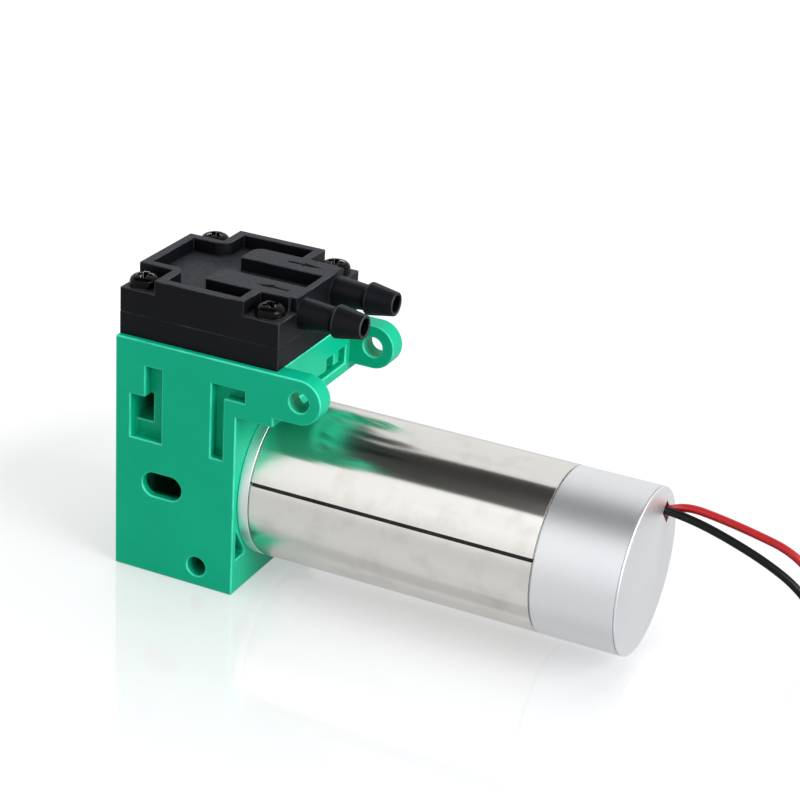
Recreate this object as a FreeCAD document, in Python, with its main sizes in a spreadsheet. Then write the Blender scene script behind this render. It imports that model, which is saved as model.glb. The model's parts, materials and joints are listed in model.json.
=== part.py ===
import FreeCAD, Part
import math
import os
import re
import Sketcher
from FreeCAD import Placement, Rotation, Vector

# A small diaphragm vacuum pump on a two-wire motor, in millimetres.
# The origin is the middle of the crankcase's underside. +X runs along the motor, +Z is up.

doc = FreeCAD.newDocument("diaphragm_pump")
sheet = doc.addObject("Spreadsheet::Sheet", "sizes")

DRIVING = {
    # crankcase block, its shelf over the motor and the two mounting lugs
    "block_length": 19.5,
    "block_width": 26.0,
    "block_height": 36.25,
    "shelf_reach": 5.8,
    "shelf_underside": 28.2,
    "lug_reach": 3.85,
    "lug_radius": 3.35,
    "lug_thickness": 3.1,
    "lug_hole_radius": 1.5,
    "lug_step": 0.9,
    "base_hole_radius": 1.5,
    "base_hole_from_left": 13.65,
    "base_hole_height": 3.05,
    "chamber_radius": 9.0,
    "rod_side_room": 1.8,
    # plug that closes the mouth of the crank's chamber
    "case_cover_rim": 1.0,
    "case_cover_thickness": 1.2,
    "case_cover_lip": 2.0,
    "case_cover_lip_wall": 1.2,
    "case_cover_dish": 0.4,
    "case_cover_dish_radius": 6.5,
    # slot for the crank's grub screw, and the moulded recesses
    "slot_straight": 2.7,
    "slot_radius": 1.85,
    "recess_depth": 1.8,
    "recess_top": 32.5,
    "recess_foot": 21.1,
    "step_recess_left": 2.45,
    "step_recess_step": 4.85,
    "step_recess_right": 7.55,
    "step_recess_shoulder": 27.75,
    "deep_recess_right": 5.2,
    "deep_recess_foot": 23.35,
    "deep_recess_depth": 7.0,
    "hook_recess_left": 15.55,
    "hook_recess_stem": 1.95,
    "hook_recess_right": 20.8,
    "hook_recess_bar": 1.8,
    "corner_recess_edge": 1.1,
    "corner_recess_width": 2.5,
    "corner_recess_foot": 5.3,
    "corner_recess_depth": 3.0,
    "corner_recess_clear": 0.7,
    "comb_half_width": 9.0,
    "comb_foot": 29.85,
    "comb_bar": 0.95,
    "comb_top": 32.55,
    "comb_tooth": 2.2,
    "comb_gap": 1.6,
    "comb_depth": 1.6,
    # pump head
    "head_setback": 0.15,
    "head_front_setback": 0.05,
    "head_inset": 0.86,
    "plate_thickness": 3.4,
    "cover_thickness": 3.6,
    "rim_height": 2.05,
    "rim_wall": 1.35,
    "nozzle_wall": 1.05,
    "notch_length": 5.5,
    "notch_width": 5.1,
    "notch_round": 2.0,
    "ridge_from_middle": 1.7,
    "ridge_width": 4.75,
    "ridge_round": 1.6,
    "screw_from_side": 2.35,
    "screw_from_end": 2.6,
    "screw_radius": 1.0,
    "screw_clearance": 0.15,
    "screw_bite": 5.5,
    "screw_head_radius": 2.15,
    "screw_head_height": 1.7,
    "screw_head_rim": 0.9,
    "screw_head_flat": 1.35,
    "cross_width": 0.65,
    "cross_length": 2.6,
    "cross_depth": 0.8,
    # flow marks sunk in the ducts
    "mark_from_end": 2.4,
    "mark_bar_length": 2.5,
    "mark_bar_width": 0.45,
    "mark_head_length": 3.0,
    "mark_head_width": 1.3,
    "mark_depth": 0.3,
    # hose nozzles
    "nozzle_offset": 5.0,
    "nozzle_drop": 2.8,
    "nozzle_root_radius": 2.28,
    "nozzle_neck_radius": 1.85,
    "nozzle_neck_length": 4.75,
    "barb_radius": 2.42,
    "barb_step": 0.65,
    "barb_length": 4.1,
    "nozzle_tip_radius": 1.72,
    "nozzle_bore_radius": 1.3,
    # valves
    "valve_sheet_thickness": 0.4,
    "valve_sheet_half_width": 8.6,
    "valve_sheet_front": 4.2,
    "valve_sheet_back": 5.4,
    "flap_thickness": 0.3,
    "flap_radius": 1.7,
    "flap_reach": 3.4,
    "tongue_width": 1.4,
    "flap_gap": 0.35,
    "flap_pocket_depth": 0.8,
    "port_radius": 0.75,
    # diaphragm and its clamp
    "diaphragm_radius": 9.6,
    "diaphragm_thickness": 0.9,
    "flex_radius": 7.4,
    "flex_drop": 1.4,
    "clamp_radius": 4.5,
    "clamp_thickness": 0.8,
    "clamp_screw_radius": 0.95,
    "clamp_screw_head": 1.85,
    "clamp_screw_length": 6.0,
    "pressure_chamber_radius": 6.2,
    "pressure_chamber_depth": 1.2,
    "bowl_foot_radius": 6.3,
    "bowl_depth": 4.5,
    # crank drive
    "eccentricity": 0.8,
    "journal_radius": 2.5,
    "bearing_radius": 5.0,
    "bearing_width": 4.0,
    "ball_pitch_radius": 3.75,
    "ball_radius": 0.7,
    "race_gap": 0.35,
    "cage_thickness": 0.3,
    "rod_eye_wall": 1.5,
    "rod_neck_width": 4.4,
    "rod_neck_thickness": 3.0,
    "rod_table_thickness": 1.3,
    "rod_room": 1.1,
    "crank_shoulder": 0.33,
    "crank_shoulder_radius": 3.1,
    "counterweight_radius": 7.5,
    "counterweight_thickness": 1.5,
    "hub_radius": 3.6,
    "hub_length": 3.5,
    "grub_from_weight": 1.12,
    "grub_radius": 0.85,
    "weight_flat": 1.8,
    "grub_socket": 0.5,
    # motor
    "motor_radius": 12.0,
    "motor_height": 14.35,
    "ring_length": 1.7,
    "sleeve_length": 42.95,
    "sleeve_wall": 1.0,
    "sleeve_slit": 0.45,
    "slit_rise": 15.7,
    "can_wall": 0.45,
    "can_overlap": 2.0,
    "boss_radius": 3.9,
    "boss_length": 1.5,
    "shaft_radius": 1.0,
    "shaft_bearing_radius": 3.0,
    "shaft_bearing_width": 2.5,
    "shaft_collar_radius": 1.6,
    "bearing_shield": 0.25,
    "motor_screw_offset": 6.7,
    "motor_screw_head": 1.75,
    "motor_screw_bite": 1.0,
    "rotor_length": 30.0,
    "rotor_core_radius": 3.0,
    "magnet_radius": 4.6,
    "air_gap": 0.4,
    "stator_yoke": 1.7,
    "tooth_width": 2.2,
    "coil_side": 0.95,
    "coil_overhang": 1.2,
    "stator_from_ring": 6.0,
    "bracket_thickness": 1.6,
    "cap_length": 12.5,
    "cap_wall": 1.0,
    "cap_floor": 1.2,
    "cap_bevel": 0.25,
    "board_thickness": 1.0,
    "chip_side": 4.0,
    "chip_thickness": 1.0,
    "capacitor_radius": 2.0,
    "capacitor_length": 5.4,
    # wire outlet, leads and their coil
    "outlet_offset_y": 6.5,
    "outlet_offset_z": 6.35,
    "outlet_length": 3.5,
    "outlet_width": 2.05,
    "outlet_turn": 46.0,
    "lead_radius": 0.6,
    "lead_tip_radius": 0.36,
    "lead_tip_length": 4.0,
    "coil_centre_x": 100.5,
    "coil_radius": 6.0,
    "coil_turns": 2.25,
    "tie_wall": 0.3,
    "tie_width": 2.0,
    # clearances
    "seat_clearance": 0.05,
    "running_clearance": 0.02,
}

MATHS = ("sqrt", "min", "max", "sin", "cos", "tan")


def fill_sheet():
    for row, (alias, size) in enumerate(DRIVING.items(), 1):
        sheet.set(f"A{row}", alias.replace("_", " "))
        sheet.set(f"B{row}", str(size))
        sheet.setAlias(f"B{row}", alias)
    doc.recompute()


def bound(rule):
    """The rule with each size's name written as a cell of the sheet."""
    return re.sub(r"[a-z]\w*", lambda word: word[0] if word[0] in MATHS else "sizes." + word[0], rule)


def size(rule):
    """The number that a rule gives now."""
    return float(sheet.evalExpression(rule))


def bind(thing, **rules):
    for prop, rule in rules.items():
        thing.setExpression(prop, bound(rule))


def put(thing, at, prop="Placement"):
    for axis, rule in zip("xyz", at):
        if rule != "0":
            thing.setExpression(f"{prop}.Base.{axis}", bound(rule))


# Places that more than one piece shares, as rules on the sizes

LEFT = "(-block_length / 2)"
MOTOR_FACE = "(block_length / 2)"
SHELF_FACE = f"({MOTOR_FACE} + shelf_reach)"
LUG_X = f"({SHELF_FACE} + lug_reach)"
LUG_Z = "(block_height - lug_radius)"
HEAD_LEFT = f"({LEFT} + head_setback)"
HEAD_RIGHT = f"({SHELF_FACE} - head_front_setback)"
HEAD_HALF = "(block_width / 2 - head_inset)"
ROD_X = f"(({HEAD_LEFT} + {HEAD_RIGHT}) / 2)"
CHAMBER_FLOOR = f"({ROD_X} + bearing_width / 2 + rod_side_room)"
MOTOR_WALL = f"({MOTOR_FACE} - {CHAMBER_FLOOR})"
PLATE_TOP = "(block_height + plate_thickness)"
LEDGE = f"({PLATE_TOP} + cover_thickness)"
HEAD_TOP = f"({LEDGE} + rim_height)"
NOZZLE_Z = f"({HEAD_TOP} - nozzle_drop)"
PIN_Z = "(motor_height - eccentricity)"
BEARING_LEFT = f"({ROD_X} - bearing_width / 2)"
DIAPHRAGM_FOOT = "(block_height - diaphragm_thickness)"
ROD_TOP = f"({DIAPHRAGM_FOOT} - flex_drop)"
CRANK_SHOULDER_X = f"({BEARING_LEFT} - crank_shoulder)"
WEIGHT_X = f"({CRANK_SHOULDER_X} - counterweight_thickness)"
GRUB_X = f"({WEIGHT_X} - grub_from_weight)"
RING_END = f"({MOTOR_FACE} + ring_length)"
SLEEVE_END = f"({RING_END} + sleeve_length)"
CAN_END = f"({SLEEVE_END} + can_overlap)"
CAP_END = f"({SLEEVE_END} + cap_length)"
BOARD_BACK = f"({CAN_END} + board_thickness)"
CAN_OUTER = "(motor_radius - sleeve_wall - seat_clearance)"
CAN_INNER = f"({CAN_OUTER} - can_wall)"
STATOR_X = f"({RING_END} + stator_from_ring)"
VALVE_Z = f"({PLATE_TOP} - valve_sheet_thickness / 2)"
SIDES = (("near", "-1"), ("far", "1"))


# Building blocks

NORMAL = {"x": Vector(1, 0, 0), "y": Vector(0, 1, 0), "z": Vector(0, 0, 1)}


def box(name, corner, lengths):
    solid = doc.addObject("Part::Box", name)
    bind(solid, Length=lengths[0], Width=lengths[1], Height=lengths[2])
    put(solid, corner)
    return solid


def rod(name, radius, length, start, along="x"):
    solid = doc.addObject("Part::Cylinder", name)
    solid.Placement = Placement(Vector(), Rotation(NORMAL["z"], NORMAL[along]))
    bind(solid, Radius=radius, Height=length)
    put(solid, start)
    return solid


def cut(name, base, *tools):
    solid = doc.addObject("Part::Cut", name)
    solid.Base = base
    solid.Tool = tools[0] if len(tools) == 1 else fuse(f"{name}_tools", *tools)
    return solid


def fuse(name, *pieces):
    solid = doc.addObject("Part::MultiFuse", name)
    solid.Shapes = list(pieces)
    return solid


def group(name, *pieces):
    solid = doc.addObject("Part::Compound", name)
    solid.Links = list(pieces)
    return solid


def new_body(name):
    body = doc.addObject("PartDesign::Body", name)
    body.Label = name
    return body


def origin_plane(body, plane):
    return next(part for part in body.Origin.OriginFeatures if part.Role == f"{plane}_Plane")


def new_sketch(body, name, plane, offset="0"):
    """A sketch on one of the body's own planes, moved along the plane's normal by offset."""
    sketch = body.newObject("Sketcher::SketchObject", name)
    sketch.AttachmentSupport = [(origin_plane(body, plane), "")]
    sketch.MapMode = "FlatFace"
    if offset != "0":
        sketch.setExpression("AttachmentOffset.Base.z", bound(offset))
    return sketch


def pin_point(sketch, line, end, at):
    """Holds one end of a line, or a circle's centre, at a place that the sizes give."""
    for kind, rule in zip(("DistanceX", "DistanceY"), at):
        index = sketch.addConstraint(Sketcher.Constraint(kind, -1, 1, line, end, size(rule)))
        sketch.setExpression(f"Constraints[{index}]", bound(rule))


def polygon(body, name, plane, corners, offset="0"):
    sketch = new_sketch(body, name, plane, offset)
    places = [Vector(size(a), size(b), 0) for a, b in corners]
    first = sketch.GeometryCount
    for index, place in enumerate(places):
        sketch.addGeometry(Part.LineSegment(place, places[(index + 1) % len(places)]))
    for index, corner in enumerate(corners):
        following = first + (index + 1) % len(corners)
        sketch.addConstraint(Sketcher.Constraint("Coincident", first + index, 2, following, 1))
        pin_point(sketch, first + index, 1, corner)
    return sketch


def circles(body, name, plane, radius, centres, offset="0"):
    sketch = new_sketch(body, name, plane, offset)
    for centre in centres:
        middle = Vector(size(centre[0]), size(centre[1]), 0)
        index = sketch.addGeometry(Part.Circle(middle, Vector(0, 0, 1), size(radius)))
        pin_point(sketch, index, 3, centre)
        held = sketch.addConstraint(Sketcher.Constraint("Radius", index, size(radius)))
        sketch.setExpression(f"Constraints[{held}]", bound(radius))
    return sketch


def oblong(body, name, plane, middle, straight, radius, offset="0"):
    """A slot with round ends, its straight sides along the sketch's first axis."""
    sketch = new_sketch(body, name, plane, offset)
    x, y, half, r = size(middle[0]), size(middle[1]), size(straight) / 2, size(radius)
    up = Vector(0, 0, 1)
    ends = [Part.Circle(Vector(x + side * half, y, 0), up, r) for side in (1, -1)]
    quarter = math.pi / 2
    sketch.addGeometry(Part.ArcOfCircle(ends[0], -quarter, quarter))
    sketch.addGeometry(Part.LineSegment(Vector(x + half, y + r, 0), Vector(x - half, y + r, 0)))
    sketch.addGeometry(Part.ArcOfCircle(ends[1], quarter, 3 * quarter))
    sketch.addGeometry(Part.LineSegment(Vector(x - half, y - r, 0), Vector(x + half, y - r, 0)))
    for a, b in ((0, 1), (1, 2), (2, 3), (3, 0)):
        sketch.addConstraint(Sketcher.Constraint("Tangent", a, 2, b, 1))
    sketch.addConstraint(Sketcher.Constraint("Equal", 0, 2))
    pin_point(sketch, 0, 3, (f"{middle[0]} + {straight} / 2", middle[1]))
    pin_point(sketch, 2, 3, (f"{middle[0]} - {straight} / 2", middle[1]))
    held = sketch.addConstraint(Sketcher.Constraint("Radius", 0, r))
    sketch.setExpression(f"Constraints[{held}]", bound(radius))
    return sketch


def pad(body, sketch, length, midplane=False, reverse=False):
    feature = body.newObject("PartDesign::Pad", f"{sketch.Name}_pad")
    feature.Profile = sketch
    feature.Midplane = midplane
    feature.Reversed = reverse
    bind(feature, Length=length)
    sketch.Visibility = False
    return feature


def pocket(body, sketch, depth, reverse=False):
    """Cuts against the sketch's normal, or along it when reverse is set."""
    feature = body.newObject("PartDesign::Pocket", f"{sketch.Name}_pocket")
    feature.Profile = sketch
    feature.Reversed = reverse
    bind(feature, Length=depth)
    return feature


def subtract_round(body, name, foot_radius, top_radius, length, start, along="z"):
    """A round hole, straight or tapered, that starts at a point and runs along an axis."""
    straight = foot_radius == top_radius
    feature = body.newObject(f"PartDesign::Subtractive{'Cylinder' if straight else 'Cone'}", name)
    feature.AttachmentSupport = [(origin_plane(body, "XY"), "")]
    feature.MapMode = "FlatFace"
    feature.AttachmentOffset = Placement(Vector(), Rotation(NORMAL["z"], NORMAL[along]))
    if straight:
        bind(feature, Radius=foot_radius, Height=length)
    else:
        bind(feature, Radius1=foot_radius, Radius2=top_radius, Height=length)
    put(feature, start, "AttachmentOffset")
    return feature


def add_round(body, name, foot_radius, top_radius, length, start, along="x"):
    straight = foot_radius == top_radius
    feature = body.newObject(f"PartDesign::Additive{'Cylinder' if straight else 'Cone'}", name)
    feature.AttachmentSupport = [(origin_plane(body, "XY"), "")]
    feature.MapMode = "FlatFace"
    feature.AttachmentOffset = Placement(Vector(), Rotation(NORMAL["z"], NORMAL[along]))
    if straight:
        bind(feature, Radius=foot_radius, Height=length)
    else:
        bind(feature, Radius1=foot_radius, Radius2=top_radius, Height=length)
    put(feature, start, "AttachmentOffset")
    return feature


def turned(name, corners, at, about="x"):
    """A body turned about a line through `at`. Corners are (along, radius), or (radius, along) about z."""
    body = new_body(name)
    sketch = polygon(body, f"{name}_section", "XZ", corners)
    feature = body.newObject("PartDesign::Revolution", f"{name}_turned")
    feature.Profile = sketch
    feature.ReferenceAxis = (sketch, ["H_Axis" if about == "x" else "V_Axis"])
    feature.Angle = 360
    put(body, at)
    return body


def round_edges(body, name, radius, chosen):
    """Rounds the edges of the body that `chosen` picks by their two end points."""
    doc.recompute()
    names = []
    for index, edge in enumerate(body.Shape.Edges, 1):
        if len(edge.Vertexes) == 2 and chosen(edge.Vertexes[0].Point, edge.Vertexes[1].Point):
            names.append(f"Edge{index}")
    if not names:
        raise ValueError(f"{name} finds no edge")
    feature = body.newObject("PartDesign::Fillet", name)
    feature.Base = (body.Tip if body.Tip != feature else feature.BaseFeature, names)
    bind(feature, Radius=radius)
    doc.recompute()
    return feature


def near(a, b, within=1e-4):
    return abs(a - b) < within


def upright(x, y):
    """Picks the vertical edge that stands at x, y."""
    def chosen(start, end):
        stands = near(start.x, end.x) and near(start.y, end.y)
        return stands and near(start.x, size(x)) and near(start.y, size(y))
    return chosen


# The crankcase: a moulded block with a shelf over the motor and two lugs

def side_recesses(body, side, sign):
    """The stepped and the hooked recess in one side face."""
    offset = f"({sign}) * (-block_width / 2)"
    away = sign == "1"
    left, step, right = (f"({LEFT} + step_recess_{word})" for word in ("left", "step", "right"))
    stepped = polygon(body, f"{side}_stepped", "XZ", (
        (step, "recess_top"),
        (right, "recess_top"),
        (right, "recess_foot"),
        (left, "recess_foot"),
        (left, "step_recess_shoulder"),
        (step, "step_recess_shoulder"),
    ), offset)
    pocket(body, stepped, "recess_depth", away)
    deep_right = f"({LEFT} + deep_recess_right)"
    deep = polygon(body, f"{side}_deep", "XZ", (
        (left, "step_recess_shoulder"),
        (deep_right, "step_recess_shoulder"),
        (deep_right, "deep_recess_foot"),
        (left, "deep_recess_foot"),
    ), offset)
    pocket(body, deep, "deep_recess_depth", away)
    hook = f"({LEFT} + hook_recess_left)"
    hook_right = f"({LEFT} + hook_recess_right)"
    hooked = polygon(body, f"{side}_hooked", "XZ", (
        (hook, "recess_top"),
        (hook_right, "recess_top"),
        (hook_right, "recess_top - hook_recess_bar"),
        (f"{hook} + hook_recess_stem", "recess_top - hook_recess_bar"),
        (f"{hook} + hook_recess_stem", "recess_foot"),
        (hook, "recess_foot"),
    ), offset)
    pocket(body, hooked, "recess_depth", away)


def lug(body, side, sign):
    """A mounting ear: a bar out of the shelf with a round end, and a small step under its root."""
    face = "(block_width / 2)" if sign == "-1" else "(lug_thickness - block_width / 2)"
    root = f"({SHELF_FACE} - lug_step)"
    foot = f"({LUG_Z} - lug_radius)"
    bar = polygon(body, f"{side}_lug_bar", "XZ", (
        (root, "block_height"),
        (LUG_X, "block_height"),
        (LUG_X, foot),
        (root, foot),
    ), face)
    pad(body, bar, "lug_thickness", reverse=True)
    pad(body, circles(body, f"{side}_lug_end", "XZ", "lug_radius", ((LUG_X, LUG_Z),), face),
        "lug_thickness", reverse=True)


def comb_recess(body):
    """The comb-shaped recess in the shelf's end face: one bar with four teeth up."""
    outer, inner = "comb_half_width", "(comb_half_width - comb_tooth)"
    second, third = f"({inner} - comb_gap)", f"({inner} - comb_gap - comb_tooth)"
    bar = "(comb_foot + comb_bar)"
    right = (
        (outer, "comb_foot"), (outer, "comb_top"), (inner, "comb_top"), (inner, bar),
        (second, bar), (second, "comb_top"), (third, "comb_top"), (third, bar),
    )
    left = tuple((f"-{a}", b) for a, b in reversed(right))
    comb = polygon(body, "comb", "YZ", right + left, SHELF_FACE)
    pocket(body, comb, "comb_depth")


def corner_recess(body, side, sign):
    """A small pocket in the motor face, between the block's edge and the motor's seat."""
    edge = f"({sign}) * (block_width / 2 - corner_recess_edge)"
    inner = f"({sign}) * (block_width / 2 - corner_recess_edge - corner_recess_width)"
    reach = "(motor_radius + corner_recess_clear)"

    def top(offset):
        return f"(motor_height - sqrt(max({reach} * {reach} - {offset} * {offset}; 1)))"

    shape = polygon(body, f"{side}_corner", "YZ", (
        (edge, "corner_recess_foot"),
        (inner, "corner_recess_foot"),
        (inner, top(inner)),
        (edge, top(edge)),
    ), MOTOR_FACE)
    pocket(body, shape, "corner_recess_depth")


def crankcase():
    body = new_body("crankcase")
    outline = polygon(body, "case_outline", "XZ", (
        (LEFT, "0"),
        (MOTOR_FACE, "0"),
        (MOTOR_FACE, "shelf_underside"),
        (SHELF_FACE, "shelf_underside"),
        (SHELF_FACE, "block_height"),
        (LEFT, "block_height"),
    ))
    pad(body, outline, "block_width", midplane=True)
    for side, sign in SIDES:
        lug(body, side, sign)
    pocket(body, circles(body, "chamber", "YZ", "chamber_radius", (("0", "motor_height"),), LEFT),
           f"block_length - {MOTOR_WALL}", reverse=True)
    pocket(body, circles(body, "cover_seat", "YZ", "chamber_radius + case_cover_rim",
                         (("0", "motor_height"),), LEFT), "case_cover_thickness", reverse=True)
    pocket(body, circles(body, "boss_hole", "YZ", "boss_radius + seat_clearance",
                         (("0", "motor_height"),), MOTOR_FACE), MOTOR_WALL)
    pocket(body, circles(body, "motor_screw_holes", "YZ", "screw_radius + screw_clearance", (
        ("motor_screw_offset", "motor_height"),
        ("-motor_screw_offset", "motor_height"),
    ), MOTOR_FACE), MOTOR_WALL)
    # the way up for the rod, the bowl under the diaphragm and the seat of its rim
    half_x = "(bearing_width / 2 + rod_room)"
    half_y = "(rod_neck_width / 2 + eccentricity + rod_room)"
    passage = polygon(body, "rod_passage", "XY", (
        (f"{ROD_X} - {half_x}", f"-{half_y}"),
        (f"{ROD_X} + {half_x}", f"-{half_y}"),
        (f"{ROD_X} + {half_x}", half_y),
        (f"{ROD_X} - {half_x}", half_y),
    ), "block_height")
    pocket(body, passage, "block_height - motor_height")
    subtract_round(body, "bowl", "bowl_foot_radius", "flex_radius", "bowl_depth",
                   (ROD_X, "0", f"{DIAPHRAGM_FOOT} - bowl_depth"))
    subtract_round(body, "rim_seat", "diaphragm_radius + seat_clearance", "diaphragm_radius + seat_clearance",
                   "diaphragm_thickness", (ROD_X, "0", DIAPHRAGM_FOOT))
    for index, (along, across) in enumerate(SCREW_PLACES):
        subtract_round(body, f"pilot_{index}", "screw_radius", "screw_radius", "screw_bite + 1",
                       (along, across, "block_height - screw_bite - 1"))
    # openings across the block
    pocket(body, oblong(body, "grub_slot", "XZ", (GRUB_X, "motor_height"), "slot_straight",
                        "slot_radius", "block_width / 2"), "block_width / 2")
    pocket(body, circles(body, "base_hole", "XZ", "base_hole_radius",
                         ((f"{LEFT} + base_hole_from_left", "base_hole_height"),), "block_width / 2"),
           "block_width")
    pocket(body, circles(body, "lug_holes", "XZ", "lug_hole_radius", ((LUG_X, LUG_Z),), "block_width / 2"),
           "block_width")
    for side, sign in SIDES:
        side_recesses(body, side, sign)
        corner_recess(body, side, sign)
    comb_recess(body)
    return body


def case_cover():
    """A dished plug with a lip, pressed flush into the mouth of the crank's chamber."""
    edge = "(chamber_radius + case_cover_rim - seat_clearance)"
    lip = "(chamber_radius - seat_clearance)"
    back = f"({LEFT} + case_cover_thickness)"
    lip_end = f"({back} + case_cover_lip)"
    return turned("case_cover", (
        (f"({LEFT} + case_cover_dish)", "0"),
        (f"({LEFT} + case_cover_dish)", "case_cover_dish_radius"),
        (LEFT, "case_cover_dish_radius"),
        (LEFT, edge),
        (back, edge),
        (back, lip),
        (lip_end, lip),
        (lip_end, f"{lip} - case_cover_lip_wall"),
        (back, f"{lip} - case_cover_lip_wall"),
        (back, "0"),
    ), AXIS)


# The pump head: valve plate, valve sheet with its two flaps, cover with the nozzles, four screws

SCREW_PLACES = [
    (along, f"({sign}) * ({HEAD_HALF} - screw_from_side)")
    for along in (f"({HEAD_LEFT} + screw_from_end)", f"({HEAD_RIGHT} - screw_from_end)")
    for sign in ("-1", "1")
]


def head_rectangle(body, name, offset):
    return polygon(body, name, "XY", (
        (HEAD_LEFT, f"-{HEAD_HALF}"),
        (HEAD_RIGHT, f"-{HEAD_HALF}"),
        (HEAD_RIGHT, HEAD_HALF),
        (HEAD_LEFT, HEAD_HALF),
    ), offset)


def flap_room(body, name, sign, foot, depth, gap="flap_gap"):
    """The room of one valve flap: round about its disc, straight about its tongue."""
    centre = f"({sign}) * nozzle_offset"
    subtract_round(body, f"{name}_disc", f"flap_radius + {gap}", f"flap_radius + {gap}", depth,
                   (ROD_X, centre, foot))
    tongue = polygon(body, f"{name}_tongue", "XY", (
        (f"{ROD_X} - flap_reach - {gap} / 2", f"{centre} - tongue_width / 2 - {gap}"),
        (ROD_X, f"{centre} - tongue_width / 2 - {gap}"),
        (ROD_X, f"{centre} + tongue_width / 2 + {gap}"),
        (f"{ROD_X} - flap_reach - {gap} / 2", f"{centre} + tongue_width / 2 + {gap}"),
    ), f"{foot} + {depth}")
    pocket(body, tongue, depth)


def sheet_corners(clearance):
    back = f"({ROD_X} - valve_sheet_back - {clearance})"
    front = f"({ROD_X} + valve_sheet_front + {clearance})"
    half = f"(valve_sheet_half_width + {clearance})"
    return ((back, f"-{half}"), (front, f"-{half}"), (front, half), (back, half))


def valve_plate():
    body = new_body("valve_plate")
    pad(body, head_rectangle(body, "plate_outline", "block_height"), "plate_thickness")
    subtract_round(body, "pressure_chamber", "pressure_chamber_radius", "pressure_chamber_radius",
                   "pressure_chamber_depth", (ROD_X, "0", "block_height"))
    pocket(body, polygon(body, "sheet_seat", "XY", sheet_corners("seat_clearance"), PLATE_TOP),
           "valve_sheet_thickness")
    flap_room(body, "inlet_room", "-1", f"({PLATE_TOP} - valve_sheet_thickness - flap_pocket_depth)",
              "flap_pocket_depth")
    for side, sign in SIDES:
        subtract_round(body, f"{side}_port", "port_radius", "port_radius", "plate_thickness",
                       (ROD_X, f"({sign}) * nozzle_offset", "block_height"))
    for index, (along, across) in enumerate(SCREW_PLACES):
        subtract_round(body, f"plate_screw_{index}", "screw_radius + screw_clearance",
                       "screw_radius + screw_clearance", "plate_thickness", (along, across, "block_height"))
    return body


def valve_sheet():
    body = new_body("valve_sheet")
    foot = f"({PLATE_TOP} - valve_sheet_thickness)"
    pad(body, polygon(body, "sheet_outline", "XY", sheet_corners("0"), foot), "valve_sheet_thickness")
    for side, sign in SIDES:
        flap_room(body, f"{side}_window", sign, foot, "valve_sheet_thickness")
    return body


def valve_flap(name, sign):
    """A round flap on a tongue, as it lies closed in the sheet's window."""
    centre = f"({sign}) * nozzle_offset"
    foot = f"({VALVE_Z} - flap_thickness / 2)"
    disc = rod(f"{name}_disc", "flap_radius", "flap_thickness", (ROD_X, centre, foot), "z")
    tongue = box(f"{name}_tongue", (f"{ROD_X} - flap_reach", f"{centre} - tongue_width / 2", foot),
                 ("flap_reach", "tongue_width", "flap_thickness"))
    flap = fuse(name, disc, tongue)
    flap.Refine = True
    return flap


def raised_outline(inset):
    """The cover's top outline, a rectangle with four square notches round the screws, moved in by inset."""
    x0, x1 = f"({HEAD_LEFT} + {inset})", f"({HEAD_RIGHT} - {inset})"
    y = f"({HEAD_HALF} - {inset})"
    a, b = f"({HEAD_LEFT} + notch_length + {inset})", f"({HEAD_RIGHT} - notch_length - {inset})"
    n = f"({HEAD_HALF} - notch_width - {inset})"
    near_side = ((x0, f"-{n}"), (a, f"-{n}"), (a, f"-{y}"), (b, f"-{y}"), (b, f"-{n}"), (x1, f"-{n}"))
    return near_side + tuple((along, across[1:]) for along, across in reversed(near_side))


def rim_pocket():
    """The hollow in the cover's top, which the rim goes round and the nozzle wall closes."""
    corners = list(raised_outline("rim_wall"))
    end = f"({HEAD_RIGHT} - nozzle_wall)"
    return [(end if along == f"({HEAD_RIGHT} - rim_wall)" else along, across) for along, across in corners]


def ridge(body, side, sign):
    """A raised duct from a valve to its nozzle, its far corner at the blind end round."""
    start = f"({ROD_X} - ridge_from_middle)"
    end = f"({HEAD_RIGHT} - nozzle_wall)"
    low = f"(({sign}) * nozzle_offset - ridge_width / 2)"
    high = f"(({sign}) * nozzle_offset + ridge_width / 2)"
    shape = polygon(body, f"{side}_ridge", "XY", ((start, low), (end, low), (end, high), (start, high)), LEDGE)
    pad(body, shape, "rim_height")
    round_edges(body, f"{side}_ridge_round", "ridge_round", upright(start, high))


def flow_mark(body, side, sign):
    """An arrow sunk in the top of a duct, inwards at the inlet and outwards at the outlet."""
    centre = f"({sign}) * nozzle_offset"
    near_end = f"({HEAD_RIGHT} - mark_from_end)"
    inwards = sign == "-1"
    bar_end = near_end if inwards else f"({near_end} - mark_head_length)"
    bar_start = f"({bar_end} - mark_bar_length)"
    foot = bar_start if inwards else bar_end
    tip = f"({foot} - mark_head_length)" if inwards else near_end
    bar = polygon(body, f"{side}_mark_bar", "XY", (
        (bar_start, f"{centre} - mark_bar_width / 2"),
        (bar_end, f"{centre} - mark_bar_width / 2"),
        (bar_end, f"{centre} + mark_bar_width / 2"),
        (bar_start, f"{centre} + mark_bar_width / 2"),
    ), HEAD_TOP)
    pocket(body, bar, "mark_depth")
    head = polygon(body, f"{side}_mark_head", "XY", (
        (foot, f"{centre} - mark_head_width / 2"),
        (tip, centre),
        (foot, f"{centre} + mark_head_width / 2"),
    ), HEAD_TOP)
    pocket(body, head, "mark_depth")


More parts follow.
